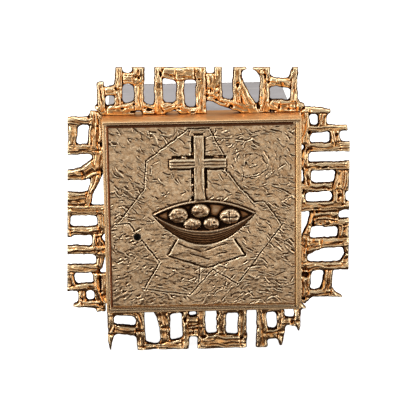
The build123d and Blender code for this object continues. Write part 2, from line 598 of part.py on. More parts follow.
# Sliding bolt, with the upright slot that the crank pin works in
SLOT_LENGTH = CRANK - CRANK_OFFSET + 2 * CRANK_PIN + 4 * SLOT_PLAY
with BuildPart() as lock_bolt:
    span((BOLT_LEFT, BOLT_LOW), (BOLT_RIGHT, BOLT_HIGH), BOLT_FRONT, BOLT_BACK)
    nose = lock_bolt.faces().sort_by(Axis.X)[0]
    chamfer(nose.edges().filter_by(Axis.Y), BOLT_NOSE)
    with BuildSketch(behind(BOLT_FRONT)):
        with Locations((KEY_X + CRANK_OFFSET, KEY_Z + (CRANK + CRANK_OFFSET) / 2)):
            Rectangle(2 * (CRANK_PIN + SLOT_PLAY), SLOT_LENGTH)
    extrude(amount=BOLT_FRONT - BOLT_BACK, mode=Mode.SUBTRACT)
keep("lock_bolt", lock_bolt.part)
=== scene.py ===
import json
from math import atan2, cos, hypot, pi, radians, sin, sqrt

import bmesh
import bpy
import numpy as np
from mathutils import Matrix, Vector

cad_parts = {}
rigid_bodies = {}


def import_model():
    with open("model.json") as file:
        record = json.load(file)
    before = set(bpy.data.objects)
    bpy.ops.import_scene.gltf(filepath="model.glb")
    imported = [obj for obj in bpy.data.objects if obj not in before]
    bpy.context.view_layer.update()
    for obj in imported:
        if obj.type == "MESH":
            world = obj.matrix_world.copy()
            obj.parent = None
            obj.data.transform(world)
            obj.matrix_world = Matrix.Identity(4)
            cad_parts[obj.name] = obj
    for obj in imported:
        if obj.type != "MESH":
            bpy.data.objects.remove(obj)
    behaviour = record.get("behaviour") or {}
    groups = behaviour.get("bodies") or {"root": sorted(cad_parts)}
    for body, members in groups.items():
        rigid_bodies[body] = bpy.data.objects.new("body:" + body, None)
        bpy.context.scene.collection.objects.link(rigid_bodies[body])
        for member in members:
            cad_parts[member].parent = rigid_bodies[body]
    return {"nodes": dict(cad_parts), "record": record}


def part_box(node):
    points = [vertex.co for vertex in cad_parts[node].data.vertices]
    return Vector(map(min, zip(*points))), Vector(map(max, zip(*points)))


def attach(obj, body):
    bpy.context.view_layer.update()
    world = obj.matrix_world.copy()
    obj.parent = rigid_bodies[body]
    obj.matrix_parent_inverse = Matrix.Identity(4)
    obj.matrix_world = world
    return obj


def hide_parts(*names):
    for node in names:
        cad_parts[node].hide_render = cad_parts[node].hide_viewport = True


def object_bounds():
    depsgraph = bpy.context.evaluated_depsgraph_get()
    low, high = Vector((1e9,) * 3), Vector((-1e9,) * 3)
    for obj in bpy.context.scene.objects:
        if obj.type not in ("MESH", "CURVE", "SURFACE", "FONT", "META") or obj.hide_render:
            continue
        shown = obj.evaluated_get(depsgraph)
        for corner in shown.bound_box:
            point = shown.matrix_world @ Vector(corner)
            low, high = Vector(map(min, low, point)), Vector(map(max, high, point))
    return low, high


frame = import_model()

CAD_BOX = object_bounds()
MM = 0.001
CAD_EDGES = [CAD_BOX[end][axis] / MM for axis in (0, 2) for end in (0, 1)]   # low x, high x, low z, high z
COLLAR_LOW, COLLAR_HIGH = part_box("front_collar")
FRONT = COLLAR_LOW.y / MM                 # the collar's front face, mm; "behind" is measured from it
HALF = COLLAR_HIGH.x / MM


# ---- noise and fields
def noise(x, y, seed):
    """Smooth value noise, -1 to 1, with a period of 256 cells."""
    grid = np.random.RandomState(seed).uniform(-1, 1, (256, 256))
    i, j = np.floor(x).astype(int), np.floor(y).astype(int)
    u, v = x - i, y - j
    u, v = u * u * (3 - 2 * u), v * v * (3 - 2 * v)
    a, b, c, d = i & 255, (i + 1) & 255, j & 255, (j + 1) & 255
    low = grid[a, c] * (1 - u) + grid[b, c] * u
    high = grid[a, d] * (1 - u) + grid[b, d] * u
    return low * (1 - v) + high * v


def fbm(x, y, seed, octaves=3):
    total, size, scale = 0, 0, 1.0
    for k in range(octaves):
        total = total + scale * noise(x * 2 ** k + 17.3 * k, y * 2 ** k + 9.1 * k, seed + k)
        size += scale
        scale *= 0.55
    return total / size


def blur(field, cells):
    """Gaussian blur of a grid, with its edges repeated."""
    reach = int(3 * cells) + 1
    kernel = np.exp(-0.5 * (np.arange(-reach, reach + 1) / cells) ** 2)
    kernel /= kernel.sum()
    for axis in (0, 1):
        pad = [(0, 0), (0, 0)]
        pad[axis] = (reach, reach)
        wide = np.pad(field, pad, mode="edge")
        out = np.zeros_like(field)
        n = field.shape[axis]
        for k, weight in enumerate(kernel):
            out += weight * (wide[k:k + n] if axis == 0 else wide[:, k:k + n])
        field = out
    return field


def smooth_min(a, b, k):
    h = unit(0.5 + 0.5 * (b - a) / k)
    return b * (1 - h) + a * h - k * h * (1 - h)


def unit(value):
    return np.clip(value, 0, 1)


def step(low, high, value):
    t = unit((value - low) / (high - low))
    return t * t * (3 - 2 * t)


def rounded(value):
    """Quarter circle, from 0 at 0 to 1 at 1."""
    return np.sqrt(1 - (1 - unit(value)) ** 2)


def bell(value, width):
    return np.exp(-(value / width) ** 2)


def box_field(X, Z, low_x, high_x, low_z, high_z):
    """Negative inside an upright rectangle."""
    return np.maximum(np.maximum(low_x - X, X - high_x), np.maximum(low_z - Z, Z - high_z))


def window_at(xs, zs, x, z, reach):
    """Grid index of the square with half-width reach round a point."""
    return np.ix_(np.abs(zs - z) < reach, np.abs(xs - x) < reach)


# ---- meshes
def add_object(name, data):
    obj = bpy.data.objects.new(name, data)
    bpy.context.scene.collection.objects.link(obj)
    return obj


def mesh_object(name, verts, faces, attributes):
    """Object from vertex and quad arrays; attributes are (name, values per vertex)."""
    mesh = bpy.data.meshes.new(name)
    mesh.vertices.add(len(verts))
    mesh.vertices.foreach_set("co", np.asarray(verts, np.float32).ravel())
    faces = np.asarray(faces, np.int32)
    mesh.loops.add(faces.size)
    mesh.loops.foreach_set("vertex_index", faces.ravel())
    mesh.polygons.add(len(faces))
    mesh.polygons.foreach_set("loop_start", np.arange(0, faces.size, faces.shape[1], dtype=np.int32))
    mesh.update(calc_edges=True)
    for key, values in attributes:
        layer = mesh.attributes.new(key, "FLOAT", "POINT")
        layer.data.foreach_set("value", np.asarray(values, np.float32))
    return add_object(name, mesh)


def relief_solid(name, xs, zs, inside, front, back, attributes):
    """Closed body between two height fields over the grid points where inside < 0.

    front and back are millimetres behind the collar's face; attributes are fields on the grid."""
    centre = (inside[:-1, :-1] + inside[1:, :-1] + inside[:-1, 1:] + inside[1:, 1:]) / 4
    cells = centre < 0
    while True:
        a, b, c, d = cells[:-1, :-1], cells[:-1, 1:], cells[1:, :-1], cells[1:, 1:]
        falling = a & d & ~b & ~c
        rising = b & c & ~a & ~d
        if not (falling.any() or rising.any()):
            break
        cells[:-1, 1:] |= falling
        cells[:-1, :-1] |= rising
    padded = np.pad(cells, 1)
    corners = [padded[:-1, :-1], padded[:-1, 1:], padded[1:, :-1], padded[1:, 1:]]
    used = np.any(corners, 0)
    rim = used & ~np.all(corners, 0)
    pitch = xs[1] - xs[0]
    slope_z, slope_x = np.gradient(inside, pitch)
    size = np.maximum(slope_x ** 2 + slope_z ** 2, 0.2)
    move = np.clip(inside / size, -0.72 * pitch, 0.72 * pitch) * rim
    grid_x, grid_z = np.meshgrid(xs, zs)
    px, pz = grid_x - move * slope_x, grid_z - move * slope_z
    n = int(used.sum())
    index = np.full(inside.shape, -1, np.int64)
    index[used] = np.arange(n)
    verts = np.concatenate([np.stack([px[used], FRONT + depth[used], pz[used]], 1)
                            for depth in (front, back)])
    i, j = np.nonzero(cells)
    quad = np.stack([index[i, j], index[i, j + 1], index[i + 1, j + 1], index[i + 1, j]], 1)
    faces = [quad, quad[:, ::-1] + n]
    for di, dj, start, end in ((-1, 0, 0, 1), (0, 1, 1, 2), (1, 0, 2, 3), (0, -1, 3, 0)):
        open_side = ~padded[i + 1 + di, j + 1 + dj]
        a, b = quad[open_side, start], quad[open_side, end]
        faces.append(np.stack([b, a, a + n, b + n], 1))
    values = [(key, np.concatenate([field[used], other[used]])) for key, field, other in attributes]
    obj = mesh_object(name, verts * MM, np.concatenate(faces), values)
    obj.data.shade_smooth()
    return obj


# ---- branch castings
def read_branches(text):
    """Branches from lines of stations (x, z and width in mm) with commas between them."""
    lines = text.strip().splitlines()
    return [[tuple(map(float, station.split())) for station in line.split(",")] for line in lines]


BRANCHES = {side: read_branches(text) for side, text in {
    "top": """
-150.5 150 15, -151.5 203 11
-146 188 14, -128 190 15
-124 158 12, -124.5 190 13, -123 225 10.5
-118 208 17, -100 208 18
-93.5 158 15, -93.5 198 16, -94.5 225 21
-163 160 14, -145 158 18, -100 160 24
-88 159 20, -70 157 17
-63.5 148 16, -64 190 14.5, -63.5 225 13.5
-60 160 18, -38 165 12, -24 155 14
-30 155 16, -5 155 16
-31 158 13, -31 204 13
-57 217 15, -38 213 21, -8 214 19
0.5 148 17, 0.5 223 16
19 176 20, 18 213 20
27 172 12, 27 222 12
11 178 10, 40 167 14, 82 154 18
56 165 15, 56 222 14
54 218 8, 70 220 4
58 200 12, 77 160 18
62 155 15, 96 157 18
98 148 17, 98 221 15
98 214 14, 80 221 3
104 200 15, 138 194.5 13
142 166 12, 143.5 220.5 8
135 199 6, 142 214 9
105 166 14, 120 160 23, 145 159 20, 159 160 8""",
    "right": """
157 157 18, 158 100 21
158 154 13, 199 151.5 8
186 150 15, 186 128 14
163 124 13, 225 125.5 9
205 122 16, 206 100 18
158 95 15, 228 95.5 17
160 92 11, 157 62 18
158 65 15, 228 65 14
163.5 65 13, 163.5 35 13
218 60 20, 214 26 28
149 31 16, 202 32.5 15
212 30 21, 212 5 22
154.5 30 13, 154.5 5 13
148 1 17, 228 1.5 15.5
172 -19 24, 212 -19 24
190 -25 12, 228 -25 12
172 -8 6, 167 -28 8, 161 -45 14, 156 -62 18, 156 -90 15
220 -22 18, 219 -50 18
161 -63 28, 185 -58 19, 228 -56 15
223.5 -50 10, 224.5 -75 8, 220 -100 18
149 -96 16, 228 -95 14
159.5 -100 21, 159 -146 19, 158 -157 7
197 -100 14, 192.5 -138 19
160 -140 13, 200 -139.5 14, 219 -146 2""",
    "bottom": """
-145 -148 11, -145.5 -200 11.5, -147 -226 2
-152 -159 20, -100 -160 24
-140 -192.5 16, -106 -196 17
-99.5 -148 16, -99.5 -195 15, -97 -228 14
-100 -153 11, -70 -153 11
-67 -148 30, -60.5 -190 17, -60 -215 16
-96 -221 14, -78 -223 10, -34 -219 19
-60 -159 20, -25 -158 18, 0 -156 15
-28 -165 10, -28.5 -228 11
-3 -148 13, -3 -228 14
-25 -190 34, -8 -190 36
-5 -215 27, 66 -217 23
28.5 -148 16, 28.5 -205 14
30 -159 20, 66 -159 20
0 -153 11, 30 -153 11
61.5 -148 14, 60.5 -228 14
66 -155 14, 86 -155 14
91.5 -148 15, 92 -228 19
98 -205 18, 118 -204 18
121 -168 13, 123 -200 13, 121.5 -226 5
90 -159 21, 124 -159 22
120 -153 11, 148 -153 11
122 -184 13, 146 -187 15
148 -148 12, 148.5 -185 11, 150 -201 2
148 -158 14, 161 -164 3""",
    "left": """
-203 143.5 13, -163 143 13
-195 140 17, -197.5 104 13
-158 158 20, -161 96 27
-204.5 99.5 15, -155 98 17
-206 58 16, -182 61 22, -162 72 24
-157 98 18, -160 60 18, -172 28 10, -178 8 9
-208 22 22, -177 22 20
-208.5 3 18, -148 2 17
-206.5 0 5, -206.5 -40 6
-155 0 14, -156 -36 12
-209 -30.5 15, -155 -30 14
-164.5 -33 12, -160 -62 22
-210.5 -61 14.5, -148 -61 16
-157 -62 18, -161 -92 10
-211 -91 16, -160 -92 13
-206 -95 13, -205 -120 14
-160 -99 22, -159.5 -155 20
-212 -121.5 13, -165 -121.5 13
-189 -125 12, -188 -146 13
-204 -151 4, -190 -149 12, -160 -150 15
-159.5 -150 16, -159.5 -163 15""",
}.items()}
# Deep hollows in the castings: x, z, half-width, half-height in mm.
POCKETS = [
    (-159, -117, 1.9, 11), (-153, 105, 2.2, 4), (-168, -75, 5, 2.2), (-172, -134, 2.6, 2.6), (-187, 82, 4, 2),
    (-153, 60, 1.6, 7), (-154, 20, 1.8, 6), (160.5, -110, 5.5, 4.5), (158, -149, 3.2, 2.6),
    (156, 23.5, 1.3, 4), (153.5, 93, 2.6, 5), (153.5, 42.5, 2.6, 3.5), (176, -3, 5, 1.8),
    (166, 118, 2.4, 3), (190, 62, 6, 1.6),
    (-78, 158, 5, 2.2), (-40, 152.5, 6, 1.5), (-104, 155, 4, 1.8), (46, 160, 3.5, 3), (110, 153, 6, 1.6),
    (-12, 152.5, 4, 1.5), (88, 160, 2.5, 4), (-60, 212, 2, 4), (70, -153, 2.5, 2), (-82, -166, 3, 3),
    (-28, -180, 2, 4), (0, -208, 5, 2.5), (60, -212, 2.5, 3.5), (-124, -154, 5, 1.6), (105, -156, 3, 2.4),
]
MITRE = 0.85             # half the gap between two castings
DROP = -1.7              # the outline's place at the castings' widest depth
WIDEST, TAPER_START = 52.0, 54.5
CAST_FRONT, CAST_BACK = 46.05, 61.9
TALLEST = WIDEST - CAST_FRONT
GRID = 0.75
FAR, SUNK = 60.0, -3.0   # outline and height away from every branch
MARGIN = 12
DIMPLES = 5              # dents and bumps for each branch


def segment_fields(X, Z, a, b):
    """Signed distance to one tapered bar, and distances along and across it."""
    (x1, z1, w1), (x2, z2, w2) = a, b
    dx, dz = x2 - x1, z2 - z1
    length = hypot(dx, dz)
    ux, uz = dx / length, dz / length
    along = (X - x1) * ux + (Z - z1) * uz
    across = -(X - x1) * uz + (Z - z1) * ux
    half = (w1 + (w2 - w1) * unit(along / length)) / 2
    lean = hypot(1, (w2 - w1) / 2 / length)
    corner = min(2, min(w1, w2) / 2.01)
    side = (np.abs(across) - half) / lean + corner
    end = np.maximum(-along, along - length) + corner
    sd = np.hypot(np.maximum(side, 0), np.maximum(end, 0)) + np.minimum(np.maximum(side, end), 0) - corner
    return sd, along, across, half


def sector_field(side, X, Z):
    """Negative inside the side's own sector, outside the collar and inside the mitres."""
    gap = MITRE * 0.7
    if side == "top":
        return np.maximum(HALF - Z, (np.abs(X) - Z) / 2 ** 0.5 + gap)
    if side == "right":
        return np.maximum(HALF - X, (np.abs(Z) - X) / 2 ** 0.5 + gap)
    if side == "bottom":
        return np.maximum(HALF + Z, np.maximum((X + Z) / 2 ** 0.5 + gap, -HALF - MITRE - X))
    edge = np.where(Z > -HALF, -HALF, -HALF - 3 * MITRE)
    return np.maximum(X - edge, (Z + X) / 2 ** 0.5 + gap)


def end_field(side, X, Z):
    """Negative on the kept side of the line where the outermost branches are cut off square."""
    return {"top": Z - (223.2 - 0.0172 * X + DROP), "right": X - 228.4, "bottom": -228.3 - Z,
            "left": 0.034 * Z - 207.8 - X}[side]


def carried_past(side, station):
    """Station at the cutting line moved out past it, so its end is cut square; thin tips stay."""
    x, z, width = station
    if width < 8 or end_field(side, x, z) < -1.8:
        return station
    out_x, out_z = {"top": (0, 5), "right": (5, 0), "bottom": (0, -5), "left": (-5, 0)}[side]
    return x + out_x, z + out_z, width


def casting(side, seed):
    branches = [[carried_past(side, s) for s in branch] for branch in BRANCHES[side]]
    stations = [s for branch in branches for s in branch]
    xs, zs = (np.arange(max(min(s[axis] for s in stations) - MARGIN, low),
                        min(max(s[axis] for s in stations) + MARGIN, high) + GRID, GRID)
              for axis, low, high in ((0, *CAD_EDGES[:2]), (1, *CAD_EDGES[2:])))
    X, Z = np.meshgrid(xs, zs)
    rng = np.random.RandomState(seed)
    warp_x = X + 1.5 * fbm(X / 15, Z / 15, seed + 31) + 0.5 * noise(X / 5, Z / 5, seed + 33)
    warp_z = Z + 1.5 * fbm(X / 15 + 40, Z / 15, seed + 37) + 0.5 * noise(X / 5, Z / 5 + 60, seed + 39)
    outline, height, crowd = np.full(X.shape, FAR), np.full(X.shape, SUNK), np.zeros(X.shape)
    for number, branch in enumerate(branches):
        bar, top = np.full(X.shape, FAR), np.full(X.shape, SUNK)
        rise, travelled = rng.uniform(4.2, 5.6), rng.uniform(0, 200)
        for a, b in zip(branch[:-1], branch[1:]):
            a, b = (a[0], a[1] + DROP, a[2]), (b[0], b[1] + DROP, b[2])
            reach = max(a[2], b[2]) / 2 + 14
            cols = (xs > min(a[0], b[0]) - reach) & (xs < max(a[0], b[0]) + reach)
            rows = (zs > min(a[1], b[1]) - reach) & (zs < max(a[1], b[1]) + reach)
            window = np.ix_(rows, cols)
            wx, wz = warp_x[window], warp_z[window]
            sd, along, across, half = segment_fields(wx, wz, a, b)
            along = along + travelled
            depth = unit(-sd / np.clip(half * 0.85, 2, 4.6))
            crown = rise * rounded(depth)
            wander = across + 2.6 * noise(along / 19, across / 30, seed + 5 * number)
            grooves = noise(along / 44, wander / 3.9, seed + 7 * number + 1)
            grooves += 0.35 * noise(along / 26, wander / 2, seed + 7 * number + 4)
            crown += depth ** 0.6 * (4.4 * np.abs(grooves) - 1.3)
            crown += 1.5 * depth * noise(along / 12, across / 8, seed + 3 * number + 2)
            bar[window] = np.minimum(bar[window], sd)
            top[window] = np.maximum(top[window], np.where(sd < 0, crown, SUNK))
            travelled += hypot(b[0] - a[0], b[1] - a[1])
        for x, z, width in branch[1:-1]:
            bar = np.minimum(bar, np.hypot(warp_x - x, warp_z - z - DROP) - width / 2)
        crowd += step(1.5, -2.5, bar)
        outline = smooth_min(outline, bar, 6)
        height = -smooth_min(-height, -top, 1.1)
    inside = np.maximum(outline, sector_field(side, X, Z))
    trimmed = np.maximum(box_field(X, Z, *CAD_EDGES) + 0.2, end_field(side, X, Z))
    sloping, inside = inside, np.maximum(inside, trimmed)
    knots = step(1.2, 2.2, crowd)
    height = np.maximum(height, 3.2 * rounded(-outline / 4.5))
    lumps = np.abs(noise(X / 8.5, Z / 8.5, seed + 51) + 0.3 * noise(X / 4, Z / 4, seed + 53))
    height += knots * (5.2 * lumps - 1.7)
    for _ in range(len(BRANCHES[side]) * DIMPLES):
        x, z, _ = stations[rng.randint(len(stations))]
        x, z = x + rng.uniform(-14, 14), z + rng.uniform(-14, 14)
        size, sign = rng.uniform(1.8, 3.8), rng.choice([1, -1.4, -1.4])
        window = window_at(xs, zs, x, z, 3 * size)
        stretch = rng.uniform(0.6, 1.6)
        far_x, far_z = (X[window] - x) * stretch, (Z[window] - z) / stretch
        spot = np.exp(-far_x ** 2 / size ** 2 - far_z ** 2 / size ** 2)
        height[window] += sign * rng.uniform(1, 2.4) * spot
    height += 0.06 * noise(X / 2.4, Z / 2.4, seed + 71)
    height = height * rounded(np.minimum(unit(-sloping / 3), unit(-trimmed / 0.9)))
    slope_z, slope_x = np.gradient(blur(outline, 1.2), GRID)
    steep = np.hypot(slope_x, slope_z) + 1e-6
    slope_x, slope_z = slope_x / steep, slope_z / steep
    inward = {"right": unit(-slope_x), "left": 0.6 * unit(slope_x)}.get(side, 0 * X)
    wall = unit(inward + 0.75 * unit(-slope_z)) ** 2 * step(2.6, 1.2, -outline)
    height -= 3 * wall * step(3.2, 0.4, -outline)
    height = TALLEST * np.tanh(1.15 * height / TALLEST)
    front = np.clip(WIDEST - height, CAST_FRONT, WIDEST + 2.4)
    rear = (CAST_BACK - TAPER_START) * rounded(-inside / 3.5)
    rear = rear * (0.88 + 0.12 * fbm(X / 7, Z / 7, seed + 81))
    back = np.clip(TAPER_START + rear, TAPER_START, CAST_BACK)
    for x, z, wide, high in POCKETS:
        spread = ((warp_x - x) / wide) ** 2 + ((warp_z - z) / high) ** 2
        front += 5 * np.exp(-spread ** 2)
    front = np.minimum(front, back - 1.5)
    relief = WIDEST - front
    # Dark patina in the hollows; painted shade on the walls is added to it below.
    patina_and_shade = unit((blur(relief, 1.8 / GRID) - relief - 0.12) / 0.55)
    patina_and_shade = np.maximum(patina_and_shade, 0.8 * unit((blur(relief, 6 / GRID) - relief - 0.8) / 1.8))
    # Crests: brightened in the material, partly as wear and partly as painted highlight.
    crest = unit((relief - blur(relief, 2 / GRID)) / 0.55)
    # Painted shade: walls near the edge that face down, and on the side castings those facing the door, are
    # darkened in colour as well as sunk.
    patina_and_shade = np.maximum(patina_and_shade, 0.85 * wall)
    middle = 0.25 + 0.5 * step(2.5, 0.5, -inside)
    zero = np.zeros(X.shape)
    obj = relief_solid(f"branches_{side}", xs, zs, inside, front, back,
                       [("patina_and_shade", patina_and_shade, middle), ("crest", crest, zero)])
    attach(obj, "casing")
    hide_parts(f"ornament_{side}")


# ---- door relief
PANEL_LOW, PANEL_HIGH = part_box("relief_panel")
PANEL_FACE, PANEL_BACK = 2.5, 8.0
RELIEF_TOP = PANEL_LOW.y / MM - FRONT     # the bowl's rim, in front of the collar's face
PITCH = 0.7
STROKES, CUTS = 900, 1050    # knife facets, and thin cuts over them
BUSH_LOW, BUSH_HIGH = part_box("keyhole_bush")
KEY_X, KEY_Z = (BUSH_LOW.x + BUSH_HIGH.x) / 2 / MM, (BUSH_LOW.z + BUSH_HIGH.z) / 2 / MM
KEY_RADIUS = (BUSH_HIGH.x - BUSH_LOW.x) / 2 / MM
OUTLINE = [
    (-21, 137), (-85, 89), (-89, 45), (-132, -10), (-113, -8), (-68, -71), (-92, -113),
    (-21, -124), (14, -84), (52, -108), (120, -16), (104, 9), (94, 22), (79, 22),
    (52, 50), (36, 73), (33, 95), (11, 138), (-21, 137),
]
LOAVES = [(-37.5, 3.5, 14.5, 12.0), (-4, 10, 14, 10.5), (-16.5, -11, 13.5, 9.5),
          (12.5, -10.5, 12.5, 9.5), (40.5, 0, 15.5, 11.5)]
# Grooves round the cross: low x, high x, low z, high z and depth in mm.
CROSS_GROOVES = [
    (-17.0, -12, 26, 75, 3.2), (-16.4, -12, 93, 126, 3.2), (2.5, 7.2, 22, 76, 3.4),
    (-13, 2, 127.4, 129.8, 1.5), (-47, -13, 90.5, 95.4, 3.2), (3, 36, 90.5, 95.2, 3.0),
    (-48, -13, 73.6, 76.4, 1.6), (3, 34, 72.8, 76.4, 1.8),
]
CLOTH = [(-38, -33), (-54, -60), (5, -80), (63, -61), (45, -34)]
CLOTH_MARKS = [((-38, -42), (-5, -55)), ((4, -53), (36, -43)), ((-20, -58), (8, -67)), ((20, -60), (35, -57))]


def near_line(X, Z, a, b):
    """Distance to a segment, and the side of it (positive on the left)."""
    dx, dz = b[0] - a[0], b[1] - a[1]
    length = hypot(dx, dz)
    ux, uz = dx / length, dz / length
    along = np.clip((X - a[0]) * ux + (Z - a[1]) * uz, 0, length)
    distance = np.hypot(X - a[0] - along * ux, Z - a[1] - along * uz)
    return distance, (Z - a[1]) * ux - (X - a[0]) * uz


def polygon_field(X, Z, corners):
    """Signed distance to a closed polygon, negative inside."""
    distance = np.full(X.shape, 1e6)
    odd = np.zeros(X.shape, bool)
    for a, b in zip(corners, corners[1:] + corners[:1]):
        if a == b:
            continue
        distance = np.minimum(distance, near_line(X, Z, a, b)[0])
        if a[1] != b[1]:
            crosses = (Z >= min(a[1], b[1])) & (Z < max(a[1], b[1]))
            odd ^= crosses & (X < a[0] + (Z - a[1]) * (b[0] - a[0]) / (b[1] - a[1]))
    return np.where(odd, -distance, distance)


def knife_strokes(X, Z, xs, zs, rng):
    """Overlapping palette-knife facets whose direction changes over the panel."""
    height = 0.25 * fbm(X / 11, Z / 11, 301)
    inside_outline = polygon_field(X, Z, OUTLINE)

    def flow(x, z):
        swirl = hypot(x - 78, z - 84)
        if swirl < 46:
            return atan2(z - 84, x - 78) + pi / 2
        if x < -20 and z > 40:
            return radians(-38)
        if z < -60:
            return radians(12 + 22 * sin(x / 23))
        if x > 55:
            return radians(-26 + 14 * sin(z / 19))
        return radians(28 * sin(x / 31 + z / 17))

    for _ in range(STROKES):
        x, z = rng.uniform(-141, 140), rng.uniform(-141, 141)
        angle = flow(x, z) + rng.normal(0, 0.38)
        length, width = rng.uniform(4, 13), rng.uniform(1.8, 4.2)
        window = window_at(xs, zs, x, z, length + 4)
        wx, wz = X[window] - x, Z[window] - z
        along = wx * cos(angle) + wz * sin(angle)
        bow = rng.uniform(-0.03, 0.03) * along ** 2 + 0.5 * noise(along / 4, along * 0 + 7, 312)
        across = -wx * sin(angle) + wz * cos(angle) + bow
        taper = 1 - 0.5 * unit(np.abs(along) / length) ** 2
        t = across / (width * taper)
        mask = step(1.1, 0.9, t) * step(-1.2, -0.8, t)
        mask = mask * step(length, length - 3, along) * step(-length - 0.4, -length + 0.8, along)
        lift = rng.uniform(0.15, 0.75) * (rng.rand() < 0.7)
        slope = step(-1.1, 0.75, t) * step(1.02, 0.75, t)
        facet = rng.uniform(-0.3, 0.15) + lift * slope
        facet += 0.07 * noise(across * 1.5 + rng.uniform(0, 90), along / 12, 311)
        height[window] = height[window] * (1 - mask) + facet * mask
    calm = 0.6 + 0.4 * step(-6, 8, inside_outline)
    height = height * calm
    for _ in range(CUTS):
        x, z = rng.uniform(-139, 138), rng.uniform(-139, 139)
        if polygon_field(np.array([[x]]), np.array([[z]]), OUTLINE)[0, 0] < -4 and rng.rand() < 0.4:
            continue
        angle = flow(x, z) + rng.normal(0, 0.42)
        stubby = x < -30 and z < -20
        length = rng.uniform(*(0.8, 3) if stubby else (1.2, 6.5))
        width = rng.uniform(*(0.9, 1.6) if stubby else (0.6, 1.15))
        window = window_at(xs, zs, x, z, length + 6)
        wx, wz = X[window] - x, Z[window] - z
        along = wx * cos(angle) + wz * sin(angle)
        bend = rng.uniform(-0.03, 0.03)
        across = -wx * sin(angle) + wz * cos(angle) + bend * along ** 2
        fade = step(length + 1.8, length - 1.8, np.abs(along))
        cut, ridge = rng.uniform(0.2, 1.6), rng.uniform(0.1, 0.85)
        side = rng.choice([-1, 1, 1])
        height[window] -= fade * cut * bell(across - side * 0.8 * width, 0.8 * width)
        height[window] += fade * ridge * bell(across + side * 0.9 * width, 0.9 * width)
    return height


